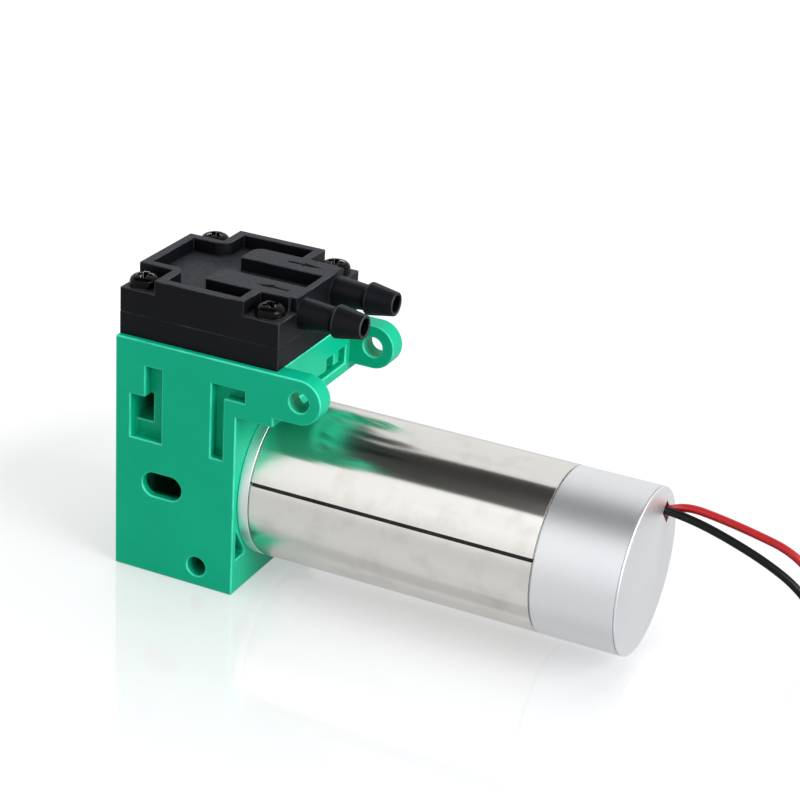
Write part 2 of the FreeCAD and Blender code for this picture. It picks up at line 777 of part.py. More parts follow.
def nozzle(body, side, sign):
    centre = f"({sign}) * nozzle_offset"
    neck_end = f"({HEAD_RIGHT} + nozzle_neck_length)"
    shoulder = f"({neck_end} + barb_step)"
    tip = f"({shoulder} + barb_length)"
    add_round(body, f"{side}_neck", "nozzle_root_radius", "nozzle_neck_radius", "nozzle_neck_length",
              (HEAD_RIGHT, centre, NOZZLE_Z))
    add_round(body, f"{side}_barb_step", "nozzle_neck_radius", "barb_radius", "barb_step",
              (neck_end, centre, NOZZLE_Z))
    add_round(body, f"{side}_barb", "barb_radius", "nozzle_tip_radius", "barb_length",
              (shoulder, centre, NOZZLE_Z))
    subtract_round(body, f"{side}_bore", "nozzle_bore_radius", "nozzle_bore_radius", f"{tip} - {ROD_X}",
                   (ROD_X, centre, NOZZLE_Z), "x")
    subtract_round(body, f"{side}_duct", "port_radius", "port_radius", f"{NOZZLE_Z} - {PLATE_TOP}",
                   (ROD_X, centre, PLATE_TOP))


def head_cover():
    body = new_body("head_cover")
    pad(body, head_rectangle(body, "cover_outline", PLATE_TOP), "cover_thickness")
    pad(body, polygon(body, "raised", "XY", raised_outline("0"), LEDGE), "rim_height")
    pocket(body, polygon(body, "hollow", "XY", rim_pocket(), HEAD_TOP), "rim_height")
    for side, sign in SIDES:
        round_edges(body, f"{side}_hollow_round", "notch_round", upright(
            f"({HEAD_LEFT} + notch_length + rim_wall)",
            f"({sign}) * ({HEAD_HALF} - notch_width - rim_wall)",
        ))
    for side, sign in SIDES:
        ridge(body, side, sign)
        flow_mark(body, side, sign)
        nozzle(body, side, sign)
    flap_room(body, "outlet_room", "1", PLATE_TOP, "flap_pocket_depth")
    for index, (along, across) in enumerate(SCREW_PLACES):
        subtract_round(body, f"cover_screw_{index}", "screw_radius + screw_clearance",
                       "screw_radius + screw_clearance", "cover_thickness", (along, across, PLATE_TOP))
    return body


def cross_slots(name, at, top, along="z"):
    """The two bars of a cross recess, sunk into a head whose top is at `top`."""
    bars = []
    for index, (a, b) in enumerate((("cross_length", "cross_width"), ("cross_width", "cross_length"))):
        bars.append(box(f"{name}_bar_{index}", (f"{at[0]} - {a} / 2", f"{at[1]} - {b} / 2",
                                                f"{top} - cross_depth"), (a, b, "cross_depth * 2")))
    return bars


def head_screw(index, along, across):
    """A cross-recessed pan head screw from the cover's ledge down into the crankcase."""
    shank = f"(cover_thickness + plate_thickness + screw_bite)"
    body = turned(f"screw_{index}", (
        ("0", f"-{shank}"),
        ("screw_radius / 2", f"-{shank}"),
        ("screw_radius - seat_clearance", f"-{shank} + screw_radius"),
        ("screw_radius - seat_clearance", "0"),
        ("screw_head_radius", "0"),
        ("screw_head_radius", "screw_head_rim"),
        ("screw_head_flat", "screw_head_height"),
        ("0", "screw_head_height"),
    ), (along, across, LEDGE), about="z")
    return cut(f"head_screw_{index}", body,
               *cross_slots(f"screw_{index}", (along, across), f"({LEDGE} + screw_head_height)"))


# The diaphragm, its clamp and the connecting rod, all at the foot of the stroke

def diaphragm():
    top = "diaphragm_thickness"
    return turned("diaphragm", (
        ("clamp_screw_radius + seat_clearance", "-flex_drop"),
        ("clamp_radius", "-flex_drop"),
        ("flex_radius", "0"),
        ("diaphragm_radius", "0"),
        ("diaphragm_radius", top),
        ("flex_radius", top),
        ("clamp_radius", f"{top} - flex_drop"),
        ("clamp_screw_radius + seat_clearance", f"{top} - flex_drop"),
    ), (ROD_X, "0", DIAPHRAGM_FOOT), about="z")


def diaphragm_clamp():
    hole = "(clamp_screw_radius + seat_clearance)"
    return turned("diaphragm_clamp", (
        (hole, "0"),
        ("clamp_radius", "0"),
        ("clamp_radius", "clamp_thickness"),
        ("clamp_screw_head + seat_clearance", "clamp_thickness"),
    ), (ROD_X, "0", f"{ROD_TOP} + diaphragm_thickness"), about="z")


def clamp_screw():
    head = "(clamp_thickness * 0.9)"
    top = f"({ROD_TOP} + diaphragm_thickness + clamp_thickness)"
    body = turned("clamp_screw_blank", (
        ("0", "-clamp_screw_length"),
        ("clamp_screw_radius", "-clamp_screw_length"),
        ("clamp_screw_radius", f"-{head}"),
        ("clamp_screw_head", "0"),
        ("0", "0"),
    ), (ROD_X, "0", top), about="z")
    socket = rod("clamp_screw_socket", "grub_socket", "clamp_thickness",
                 (ROD_X, "0", f"{top} - clamp_thickness / 2"), "z")
    return cut("clamp_screw", body, socket)


def connecting_rod():
    """The eye round the bearing, the neck and the round table that carries the diaphragm."""
    body = new_body("connecting_rod")
    eye = circles(body, "eye", "YZ", "bearing_radius + rod_eye_wall", (("0", PIN_Z),), BEARING_LEFT)
    pad(body, eye, "bearing_width")
    table_foot = f"({ROD_TOP} - rod_table_thickness)"
    shoulder = f"({table_foot} - rod_table_thickness)"
    foot_half = "(rod_neck_width / 2 + rod_eye_wall)"
    neck = polygon(body, "neck", "YZ", (
        (f"-{foot_half}", PIN_Z),
        (foot_half, PIN_Z),
        ("rod_neck_width / 2", f"{PIN_Z} + bearing_radius * 2"),
        ("rod_neck_width / 2", shoulder),
        ("clamp_radius - seat_clearance", table_foot),
        ("seat_clearance - clamp_radius", table_foot),
        ("-rod_neck_width / 2", shoulder),
        ("-rod_neck_width / 2", f"{PIN_Z} + bearing_radius * 2"),
    ), f"({ROD_X} - rod_neck_thickness / 2)")
    pad(body, neck, "rod_neck_thickness")
    add_round(body, "table", "clamp_radius", "clamp_radius", "rod_table_thickness",
              (ROD_X, "0", table_foot), "z")
    subtract_round(body, "eye_bore", "bearing_radius + seat_clearance / 2",
                   "bearing_radius + seat_clearance / 2", "bearing_width", (BEARING_LEFT, "0", PIN_Z), "x")
    subtract_round(body, "clamp_hole", "clamp_screw_radius + seat_clearance",
                   "clamp_screw_radius + seat_clearance", "clamp_screw_length",
                   (ROD_X, "0", f"{ROD_TOP} - clamp_screw_length"))
    return body


# The crank's ball bearing

PIN = (ROD_X, "0", PIN_Z)
BALLS = 7


def race_groove(name):
    groove = doc.addObject("Part::Torus", name)
    groove.Placement = Placement(Vector(), Rotation(NORMAL["z"], NORMAL["x"]))
    bind(groove, Radius1="ball_pitch_radius", Radius2="ball_radius + seat_clearance")
    put(groove, PIN)
    return groove


def ring(name, outer, inner, length, start, along="x"):
    return cut(name, rod(f"{name}_blank", outer, length, start, along),
               rod(f"{name}_hole", inner, length, start, along))


def rod_bearing():
    start = (BEARING_LEFT, "0", PIN_Z)
    outer = ring("outer_race", "bearing_radius", "ball_pitch_radius + race_gap", "bearing_width", start)
    inner = ring("inner_race", "ball_pitch_radius - race_gap", "journal_radius + running_clearance",
                 "bearing_width", start)
    cut("rod_bearing_outer", outer, race_groove("outer_groove"))
    cut("rod_bearing_inner", inner, race_groove("inner_groove"))
    cage = ring("cage", "ball_pitch_radius + cage_thickness / 2", "ball_pitch_radius - cage_thickness / 2",
                "ball_radius", (f"{ROD_X} - ball_radius / 2", "0", PIN_Z))
    balls = []
    for index in range(BALLS):
        ball = doc.addObject("Part::Sphere", f"ball_{index}")
        turn = f"({360 * index} / {BALLS})"
        bind(ball, Radius="ball_radius")
        put(ball, (ROD_X, f"ball_pitch_radius * sin({turn})", f"{PIN_Z} + ball_pitch_radius * cos({turn})"))
        balls.append(ball)
    fuse("rod_bearing_balls", cage, *balls)


# The crank on the motor shaft: hub with a grub screw, counterweight and the eccentric journal

def crank():
    body = new_body("crank")
    hub_start = f"({WEIGHT_X} - hub_length)"
    pad(body, circles(body, "weight_disc", "YZ", "counterweight_radius", (("0", "motor_height"),), WEIGHT_X),
        "counterweight_thickness")
    below = "(motor_height - counterweight_radius)"
    away = polygon(body, "weight_relief", "YZ", (
        ("-counterweight_radius", below),
        ("counterweight_radius", below),
        ("counterweight_radius", "motor_height - weight_flat"),
        ("-counterweight_radius", "motor_height - weight_flat"),
    ), f"({WEIGHT_X} + counterweight_thickness)")
    pocket(body, away, "counterweight_thickness")
    pad(body, circles(body, "hub", "YZ", "hub_radius", (("0", "motor_height"),), hub_start),
        "hub_length + counterweight_thickness")
    pad(body, circles(body, "shoulder", "YZ", "crank_shoulder_radius", (("0", PIN_Z),), CRANK_SHOULDER_X),
        "crank_shoulder")
    pad(body, circles(body, "journal", "YZ", "journal_radius", (("0", PIN_Z),), BEARING_LEFT),
        "bearing_width")
    subtract_round(body, "crank_bore", "shaft_radius + running_clearance", "shaft_radius + running_clearance",
                   f"{BEARING_LEFT} + bearing_width - {hub_start}", (hub_start, "0", "motor_height"), "x")
    grub_hole = circles(body, "grub_hole", "XZ", "grub_radius + running_clearance",
                        ((GRUB_X, "motor_height"),), "hub_radius")
    pocket(body, grub_hole, "hub_radius")
    return body


def grub_screw():
    seat = "(shaft_radius + seat_clearance)"
    blank = rod("grub_blank", "grub_radius", f"hub_radius - {seat}", (GRUB_X, "-hub_radius", "motor_height"), "y")
    socket = doc.addObject("Part::Prism", "grub_socket_cut")
    socket.Polygon = 6
    socket.Placement = Placement(Vector(), Rotation(NORMAL["z"], NORMAL["y"]))
    bind(socket, Circumradius="grub_socket", Height="grub_radius")
    put(socket, (GRUB_X, "-hub_radius", "motor_height"))
    return cut("crank_set_screw", blank, socket)


# The motor: flange, can, sleeve, rotor, stator, bearings, board and end cap

AXIS = ("0", "0", "motor_height")


def on_axis(start):
    return (start, "0", "motor_height")


def shaft_bearing(name, start):
    """A shielded bearing: an outer race with its two shields, and an inner race."""
    end = f"({start} + shaft_bearing_width)"
    shield = "(shaft_collar_radius + running_clearance * 4)"
    bore = "(shaft_collar_radius + (shaft_bearing_radius - shaft_collar_radius) / 2)"
    turned(f"{name}_outer", (
        (start, "shaft_bearing_radius"),
        (end, "shaft_bearing_radius"),
        (end, shield),
        (f"{end} - bearing_shield", shield),
        (f"{end} - bearing_shield", bore),
        (f"{start} + bearing_shield", bore),
        (f"{start} + bearing_shield", shield),
        (start, shield),
    ), AXIS)
    ring(f"{name}_inner", "shaft_collar_radius", "shaft_radius + running_clearance", "shaft_bearing_width",
         on_axis(start))


FRONT_BEARING = f"({RING_END} - shaft_bearing_width)"
REAR_BEARING = f"({SLEEVE_END} - shaft_bearing_width)"


def front_flange():
    """The motor's front plate. It shows as a thin ring, and its boss sits in the crankcase."""
    nose = f"({MOTOR_FACE} - boss_length)"
    seat = "(shaft_bearing_radius + seat_clearance)"
    body = turned("front_flange", (
        (nose, "shaft_collar_radius"),
        (nose, "boss_radius"),
        (MOTOR_FACE, "boss_radius"),
        (MOTOR_FACE, "motor_radius - cap_bevel / 2"),
        (f"{MOTOR_FACE} + cap_bevel / 2", "motor_radius"),
        (RING_END, "motor_radius"),
        (RING_END, f"{CAN_INNER} - seat_clearance"),
        (f"{RING_END} + ring_length / 2", f"{CAN_INNER} - seat_clearance"),
        (f"{RING_END} + ring_length / 2", f"{CAN_INNER} - can_overlap"),
        (RING_END, f"{CAN_INNER} - can_overlap"),
        (RING_END, seat),
        (FRONT_BEARING, seat),
        (FRONT_BEARING, "shaft_collar_radius"),
    ), AXIS)
    for index, sign in enumerate(("1", "-1")):
        subtract_round(body, f"flange_thread_{index}", "screw_radius", "screw_radius", "ring_length",
                       (MOTOR_FACE, f"({sign}) * motor_screw_offset", "0"), "x")
    return body


def motor_screw(index, sign):
    body = turned(f"motor_screw_{index}", (
        (f"{MOTOR_FACE} + motor_screw_bite", "0"),
        (f"{MOTOR_FACE} + motor_screw_bite", "screw_radius - seat_clearance"),
        (CHAMBER_FLOOR, "screw_radius - seat_clearance"),
        (CHAMBER_FLOOR, "motor_screw_head"),
        (f"{CHAMBER_FLOOR} - screw_head_height / 2", "motor_screw_head"),
        (f"{CHAMBER_FLOOR} - screw_head_height * 0.75", "motor_screw_head * 0.7"),
        (f"{CHAMBER_FLOOR} - screw_head_height * 0.75", "0"),
    ), ("0", f"({sign}) * motor_screw_offset", "motor_height"))
    return body


def motor_tubes():
    ring("motor_can", CAN_OUTER, CAN_INNER, f"{CAN_END} - {RING_END}", on_axis(RING_END))
    sleeve = ring("sleeve_tube", "motor_radius", "motor_radius - sleeve_wall", "sleeve_length",
                  on_axis(RING_END))
    slit = doc.addObject("Part::Box", "slit")
    rise = size("slit_rise")
    slit.Placement = Placement(Vector(), Rotation(Vector(1, 0, 0), -rise))
    bind(slit, Length="sleeve_length", Width="motor_radius", Height="sleeve_slit")
    slit.setExpression("Placement.Base.x", bound(RING_END))
    slit.setExpression("Placement.Base.y", bound("-motor_radius * 1.2 * cos(slit_rise)"))
    slit.setExpression("Placement.Base.z", bound("motor_height + motor_radius * 1.2 * sin(slit_rise)"))
    cut("motor_sleeve", sleeve, slit)


def rotor():
    shaft_start = f"({WEIGHT_X} - hub_length)"
    rod("motor_shaft", "shaft_radius", f"{SLEEVE_END} - {shaft_start}", on_axis(shaft_start))
    ring("rotor_core", "rotor_core_radius", "shaft_radius + running_clearance", "rotor_length",
         on_axis(STATOR_X))
    ring("rotor_magnet", "magnet_radius", "rotor_core_radius + running_clearance", "rotor_length",
         on_axis(STATOR_X))


TEETH = 6


def stator():
    """The laminated stack with six teeth, and a wound coil round each tooth."""
    bore = "(magnet_radius + air_gap)"
    yoke = f"({CAN_INNER} - seat_clearance - stator_yoke)"
    body = new_body("stator_core")
    blank = new_sketch(body, "yoke_ring", "YZ", STATOR_X)
    for radius in (f"{CAN_INNER} - seat_clearance", yoke):
        index = blank.addGeometry(Part.Circle(Vector(), Vector(0, 0, 1), size(radius)))
        blank.addConstraint(Sketcher.Constraint("Coincident", index, 3, -1, 1))
        held = blank.addConstraint(Sketcher.Constraint("Radius", index, size(radius)))
        blank.setExpression(f"Constraints[{held}]", bound(radius))
    pad(body, blank, "rotor_length")
    tooth = polygon(body, "tooth", "YZ", (
        ("-tooth_width / 2", bore),
        ("tooth_width / 2", bore),
        ("tooth_width / 2", f"{yoke} + stator_yoke / 2"),
        ("-tooth_width / 2", f"{yoke} + stator_yoke / 2"),
    ), STATOR_X)
    tooth_pad = pad(body, tooth, "rotor_length")
    pattern = body.newObject("PartDesign::PolarPattern", "teeth")
    pattern.Originals = [tooth_pad]
    pattern.Axis = (next(part for part in body.Origin.OriginFeatures if part.Role == "X_Axis"), [""])
    pattern.Angle = 360
    pattern.Occurrences = TEETH
    body.Tip = pattern
    put(body, AXIS)
    coils = []
    half = "(tooth_width / 2 + seat_clearance)"
    foot = f"({bore} + coil_side)"
    side = f"({half} + coil_side)"
    rise = f"(sqrt({yoke} * {yoke} - {side} * {side}) - seat_clearance - {foot})"
    for index in range(TEETH):
        outer = box(f"coil_{index}_outer", (f"{STATOR_X} - coil_overhang", f"-{half} - coil_side", foot),
                    ("rotor_length + coil_overhang * 2", f"{half} * 2 + coil_side * 2", rise))
        inner = box(f"coil_{index}_inner", (f"{STATOR_X} - seat_clearance", f"-{half}", foot),
                    ("rotor_length + seat_clearance * 2", f"{half} * 2", rise))
        coil = cut(f"coil_{index}", outer, inner)
        coil.Placement = Placement(Vector(), Rotation(Vector(1, 0, 0), 360 * index / TEETH))
        coil.setExpression("Placement.Base.z", bound("motor_height"))
        coils.append(coil)
    group("stator_windings", *coils)


def rear_bracket():
    """The plate in the can's rear end that holds the rear bearing."""
    start = f"({SLEEVE_END} - bracket_thickness)"
    seat = "(shaft_bearing_radius + seat_clearance)"
    rim = f"({CAN_INNER} - seat_clearance)"
    return turned("rear_bracket", (
        (start, rim),
        (SLEEVE_END, rim),
        (SLEEVE_END, seat),
        (f"{REAR_BEARING}", seat),
        (f"{REAR_BEARING}", "shaft_bearing_radius + cap_wall"),
        (start, "shaft_bearing_radius + cap_wall"),
    ), AXIS)


def end_cap():
    body = turned("end_cap", (
        (SLEEVE_END, "motor_radius"),
        (f"{CAP_END} - cap_bevel", "motor_radius"),
        (CAP_END, "motor_radius - cap_bevel"),
        (CAP_END, "0"),
        (f"{CAP_END} - cap_floor", "0"),
        (f"{CAP_END} - cap_floor", "motor_radius - cap_wall"),
        (SLEEVE_END, "motor_radius - cap_wall"),
    ), AXIS)
    outlet = box("wire_outlet", ("0", "-outlet_length / 2", "-outlet_width / 2"),
                 ("cap_floor * 2", "outlet_length", "outlet_width"))
    frame = group("outlet_frame", outlet)
    frame.Placement = Placement(Vector(), Rotation(Vector(1, 0, 0), -size("outlet_turn")))
    put(frame, (f"{CAP_END} - cap_floor * 1.5", "outlet_offset_y", "motor_height + outlet_offset_z"))
    solid = cut("end_cap_cut", body, frame)
    body.Label = "end_cap_blank"
    solid.Label = "end_cap"
    return solid


def driver_board():
    rod("driver_board", f"{CAN_OUTER} - seat_clearance", "board_thickness", on_axis(CAN_END))
    chip = box("chip", (BOARD_BACK, "-chip_side", "motor_height - chip_side / 2"),
               ("chip_thickness", "chip_side", "chip_side"))
    switch = box("switch", (BOARD_BACK, "chip_side / 2", "motor_height - chip_side"),
                 ("chip_thickness", "chip_side / 2", "chip_side"))
    capacitor = rod("capacitor", "capacitor_radius", "capacitor_length",
                    (BOARD_BACK, "0", "motor_height - motor_radius / 2"))
    group("board_parts", chip, switch, capacitor)


# The leads: two loose wires from the board, out of the slot and down to the coil that they end in

COIL_HEIGHT = "(lead_radius * 2 * (coil_turns + 1) + seat_clearance * 2)"
BLACK_COIL_Z = "(tie_wall + seat_clearance)"
RED_COIL_Z = f"({BLACK_COIL_Z} + {COIL_HEIGHT} + seat_clearance)"

RED_ROUTE = (
    (57.4, 6.7, 19.7),
    (61.6, 6.8, 20.35),
    (66.4, 6.88, 20.55),
    (69.6, 7.0, 22.0),
    (74.0, 7.1, 21.45),
    (79.4, 7.1, 20.45),
    (84.6, 7.1, 19.2),
    (88.4, 7.0, 16.3),
    (91.0, 6.8, 12.6),
    (93.3, 6.35, 9.3),
    (96.0, 6.0, 7.9),
    (98.3, 6.0, 7.75),
)
RED_TAIL = (
    (106.5, -2.4, 5.05),
    (106.65, -5.3, 4.95),
    (106.3, -8.0, 3.4),
    (104.6, -10.0, 1.7),
    (101.9, -11.1, 0.74),
    (99.0, -11.4, 0.62),
)
BLACK_ROUTE = (
    (57.4, 5.3, 20.5),
    (61.8, 5.5, 21.2),
    (66.8, 5.66, 21.4),
    (71.4, 5.66, 20.75),
    (76.2, 5.5, 19.5),
    (81.6, 5.4, 17.6),
    (86.2, 5.4, 15.2),
    (89.6, 5.5, 11.7),
    (91.9, 5.65, 8.0),
    (94.0, 5.85, 5.2),
    (96.6, 6.0, 3.85),
    (98.8, 6.0, 3.7),
)
BLACK_TAIL = (
    (106.5, -2.4, 1.0),
    (106.9, -5.2, 0.8),
    (108.2, -7.9, 0.66),
)


def cord_path(name, points):
    """Straight runs joined by arcs that take 0.45 of the shorter run each side of a point."""
    edges, here, radii = [], points[0], []
    for before, corner, after in zip(points, points[1:], points[2:]):
        back, ahead = before - corner, after - corner
        half_turn = (math.pi - back.getAngle(ahead)) / 2
        reach = 0.45 * min(back.Length, ahead.Length)
        radius = reach / math.tan(half_turn)
        radii.append(round(radius, 1))
        back.normalize()
        ahead.normalize()
        inward = back + ahead
        inward.normalize()
        start, end = corner + back * reach, corner + ahead * reach
        middle = corner + inward * (radius / math.cos(half_turn) - radius)
        edges.append(Part.LineSegment(here, start).toShape())
        edges.append(Part.Arc(start, middle, end).toShape())
        here = end
    edges.append(Part.LineSegment(here, points[-1]).toShape())
    print(name, "bend radii", radii)
    return Part.Wire(edges)


def tube(name, route):
    points = [Vector(*point) for point in route]
    radius = size("lead_radius")
    path = cord_path(name, points)
    section = Part.Wire(Part.Circle(points[0], points[1] - points[0], radius).toShape())
    solid = path.makePipeShell([section], True, False)
    expected = math.pi * radius * radius * path.Length
    print(name, "length", round(path.Length, 1), "volume share", round(solid.Volume / expected, 4))
    return solid


def lead(name, route, tail, coil_foot):
    """One lead: its free stretch and tail, the coil between them and the bare end."""
    free = doc.addObject("Part::Feature", f"{name}_lead")
    free.Shape = Part.makeCompound([tube(f"{name} free stretch", route), tube(f"{name} tail", tail)])
    reach = "(lead_radius + seat_clearance)"
    ring(f"{name}_coil", f"coil_radius + {reach}", f"coil_radius - {reach}", COIL_HEIGHT,
         ("coil_centre_x", "0", coil_foot), "z")
    before, end = Vector(*tail[-2]), Vector(*tail[-1])
    tip = doc.addObject("Part::Cylinder", f"{name}_tip")
    bind(tip, Radius="lead_tip_radius", Height="lead_tip_length")
    tip.Placement = Placement(end, Rotation(NORMAL["z"], end - before))


def coil_tie():
    """A flat band round the section of both coils, which it lifts off the ground by its thickness."""
    reach = "(lead_radius + seat_clearance * 4)"
    start = "(coil_centre_x - tie_width / 2)"
    top = f"({RED_COIL_Z} + {COIL_HEIGHT} + seat_clearance)"
    outer = box("tie_outer", (start, f"-coil_radius - {reach} - tie_wall", "0"),
                ("tie_width", f"({reach} + tie_wall) * 2", f"{top} + tie_wall"))
    inner = box("tie_inner", (start, f"-coil_radius - {reach}", "tie_wall"),
                ("tie_width", f"{reach} * 2", f"{top} - tie_wall"))
    cut("coil_tie", outer, inner)


def main():
    fill_sheet()
    crankcase()
    case_cover()
    valve_plate()
    valve_sheet()
    valve_flap("inlet_flap", "-1")
    valve_flap("outlet_flap", "1")
    head_cover()
    group("head_screws", *[head_screw(index, *place) for index, place in enumerate(SCREW_PLACES)])
    diaphragm()
    diaphragm_clamp()
    clamp_screw()
    connecting_rod()
    rod_bearing()
    crank()
    grub_screw()
    shaft_bearing("front_bearing", FRONT_BEARING)
    shaft_bearing("rear_bearing", REAR_BEARING)
    front_flange()
    group("motor_screws", *[motor_screw(index, sign) for index, sign in enumerate(("1", "-1"))])
    motor_tubes()
    rotor()
    stator()
    rear_bracket()
    end_cap()
    driver_board()
    lead("red", RED_ROUTE, RED_TAIL, RED_COIL_Z)
    lead("black", BLACK_ROUTE, BLACK_TAIL, BLACK_COIL_Z)
    coil_tie()
    doc.recompute()


NODES = (
    "crankcase", "case_cover", "valve_plate", "valve_sheet", "inlet_flap", "outlet_flap", "head_cover",
    "head_screws", "diaphragm", "diaphragm_clamp", "clamp_screw", "connecting_rod",
    "rod_bearing_outer", "rod_bearing_inner", "rod_bearing_balls", "crank", "crank_set_screw",
    "front_bearing_outer", "front_bearing_inner", "rear_bearing_outer", "rear_bearing_inner",
    "front_flange", "motor_screws", "motor_can", "motor_sleeve",
    "motor_shaft", "rotor_core", "rotor_magnet", "stator_core", "stator_windings",
    "rear_bracket", "end_cap", "driver_board", "board_parts",
    "red_lead", "black_lead", "red_coil", "black_coil", "coil_tie", "red_tip", "black_tip",
)
CUTS = ("PartDesign::Pocket", "PartDesign::SubtractiveCylinder", "PartDesign::SubtractiveCone")


def check_and_export():
    for thing in doc.Objects:
        if {"Invalid", "Error"} & set(thing.State):
            raise ValueError(f"{thing.Name} failed: {thing.State}")
        if thing.TypeId in CUTS and not thing.Shape.Volume < thing.BaseFeature.Shape.Volume - 1e-3:
            raise ValueError(f"{thing.Name} cuts nothing")
    os.makedirs("parts", exist_ok=True)
    for label in NODES:
        (piece,) = doc.getObjectsByLabel(label)
        shape = piece.Shape
        if shape.isNull() or not shape.isValid():
            raise ValueError(f"{label} has no valid shape")
        shape.exportStep(f"parts/{label}.step")


main()
check_and_export()
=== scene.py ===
import json
import math

import bmesh
import bpy
from mathutils import Matrix, Vector


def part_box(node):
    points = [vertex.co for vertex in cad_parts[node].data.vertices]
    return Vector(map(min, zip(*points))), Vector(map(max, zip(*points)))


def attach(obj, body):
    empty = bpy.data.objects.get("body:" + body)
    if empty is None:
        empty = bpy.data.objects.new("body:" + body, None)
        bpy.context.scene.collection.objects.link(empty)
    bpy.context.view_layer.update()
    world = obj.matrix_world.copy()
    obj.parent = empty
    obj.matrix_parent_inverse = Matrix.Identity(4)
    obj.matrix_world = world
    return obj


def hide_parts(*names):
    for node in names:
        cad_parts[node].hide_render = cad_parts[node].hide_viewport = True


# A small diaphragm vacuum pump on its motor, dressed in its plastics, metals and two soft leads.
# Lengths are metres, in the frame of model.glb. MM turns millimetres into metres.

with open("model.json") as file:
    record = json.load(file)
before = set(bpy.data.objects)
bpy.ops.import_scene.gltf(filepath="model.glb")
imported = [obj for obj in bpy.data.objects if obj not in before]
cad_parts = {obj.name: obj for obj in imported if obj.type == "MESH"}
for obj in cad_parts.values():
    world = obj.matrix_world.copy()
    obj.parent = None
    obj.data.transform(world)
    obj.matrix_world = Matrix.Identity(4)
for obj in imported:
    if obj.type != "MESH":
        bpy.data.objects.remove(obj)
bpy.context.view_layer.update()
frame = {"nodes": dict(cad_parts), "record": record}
nodes = frame["nodes"]
MM = 0.001

BODY_OF = {
    node: body
    for body, members in frame["record"]["behaviour"]["bodies"].items()
    for node in members
}
SLOT_OF = {row["node"]: row["material_slot"] for row in frame["record"]["subparts"]}

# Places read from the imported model

cap_low, cap_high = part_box("end_cap")
sleeve_low, sleeve_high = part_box("motor_sleeve")
MOTOR_RADIUS = (cap_high.y - cap_low.y) / 2
MOTOR_Z = (cap_high.z + cap_low.z) / 2
MOTOR_CENTRE = Vector((0, 0, MOTOR_Z))

# The name under which round_edges() marks the rounded outer edges of a piece

RIM = "rim"


# The camera, at the photograph's angle

CAMERA_PLACE = (0.138392, -0.247966, 0.154164)
CAMERA_RIGHT = Vector((0.90193419, 0.4279956, 0.05774509))
CAMERA_UP = Vector((-0.22548929, 0.35265213, 0.90818008))
CAMERA_LENS = 95.97
CAMERA_SENSOR = 36
CAMERA_CLIP = (0.01, 20)


def add_camera():
    data = bpy.data.cameras.new("camera")
    data.lens = CAMERA_LENS
    data.sensor_width = CAMERA_SENSOR
    data.clip_start, data.clip_end = CAMERA_CLIP
    camera = bpy.data.objects.new("camera", data)
    bpy.context.scene.collection.objects.link(camera)
    turn = Matrix((CAMERA_RIGHT, CAMERA_UP, CAMERA_RIGHT.cross(CAMERA_UP))).transposed()
    camera.matrix_world = Matrix.Translation(CAMERA_PLACE) @ turn.to_4x4()
    bpy.context.scene.camera = camera


# The two leads, each one smooth line from the slot, through its coil, to its bare end

LEAD_DIAMETER = 1.2 * MM
COIL_CENTRE = Vector((100.5, 0, 0)) * MM
COIL_RADIUS = 6.0 * MM
COIL_TURNS = 2.25
COIL_POINTS = 16
RED_COIL_TOP = 7.75
BLACK_COIL_TOP = 3.7

RED_ROUTE = (
    (57.4, 6.7, 19.7),
    (61.6, 6.8, 20.35),
    (66.4, 6.88, 20.55),
    (69.6, 7.0, 22.0),
    (74.0, 7.1, 21.45),
    (79.4, 7.1, 20.45),
    (84.6, 7.1, 19.2),
    (88.4, 7.0, 16.3),
    (91.0, 6.8, 12.6),
    (93.3, 6.35, 9.3),
    (96.0, 6.0, 7.9),
    (98.3, 6.0, 7.75),
)
RED_TAIL = (
    (106.5, -2.4, 5.05),
    (106.65, -5.3, 4.95),
    (106.3, -8.0, 3.4),
    (104.6, -10.0, 1.7),
    (101.9, -11.1, 0.74),
    (99.0, -11.4, 0.62),
)
BLACK_ROUTE = (
    (57.4, 5.3, 20.5),
    (61.8, 5.5, 21.2),
    (66.8, 5.66, 21.4),
    (71.4, 5.66, 20.75),
    (76.2, 5.5, 19.5),
    (81.6, 5.4, 17.6),
    (86.2, 5.4, 15.2),
    (89.6, 5.5, 11.7),
    (91.9, 5.65, 8.0),
    (94.0, 5.85, 5.2),
    (96.6, 6.0, 3.85),
    (98.8, 6.0, 3.7),
)
BLACK_TAIL = (
    (106.5, -2.4, 1.0),
    (106.9, -5.2, 0.8),
    (108.2, -7.9, 0.66),
)


def coil_points(top):
    """Control points of the coil's turns, clockwise and down, a diameter lower with each turn."""
    count = round(COIL_TURNS * COIL_POINTS)
    step = 2 * math.pi / COIL_POINTS
    reach = COIL_RADIUS / math.cos(step / 2)
    points = []
    for index in range(count + 1):
        angle = math.pi / 2 - index * step
        drop = LEAD_DIAMETER * index / COIL_POINTS
        around = Vector((math.cos(angle), math.sin(angle), 0)) * reach
        points.append(COIL_CENTRE + around + Vector((0, 0, top * MM - drop)))
    return points


def lead(name, route, top, tail, material, stands_for):
    points = [Vector(point) * MM for point in route] + coil_points(top)
    points += [Vector(point) * MM for point in tail]
    curve = bpy.data.curves.new(name, "CURVE")
    curve.dimensions = "3D"
    curve.resolution_u = 8
    curve.bevel_depth = LEAD_DIAMETER / 2
    curve.bevel_resolution = 5
    curve.use_fill_caps = True
    spline = curve.splines.new("NURBS")
    spline.points.add(len(points) - 1)
    for knot, place in zip(spline.points, points):
        knot.co = (*place, 1)
    spline.order_u = 3
    spline.use_endpoint_u = True
    curve.materials.append(material)
    piece = bpy.data.objects.new(name, curve)
    bpy.context.scene.collection.objects.link(piece)
    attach(piece, "housing")
    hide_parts(*stands_for)


# Node trees

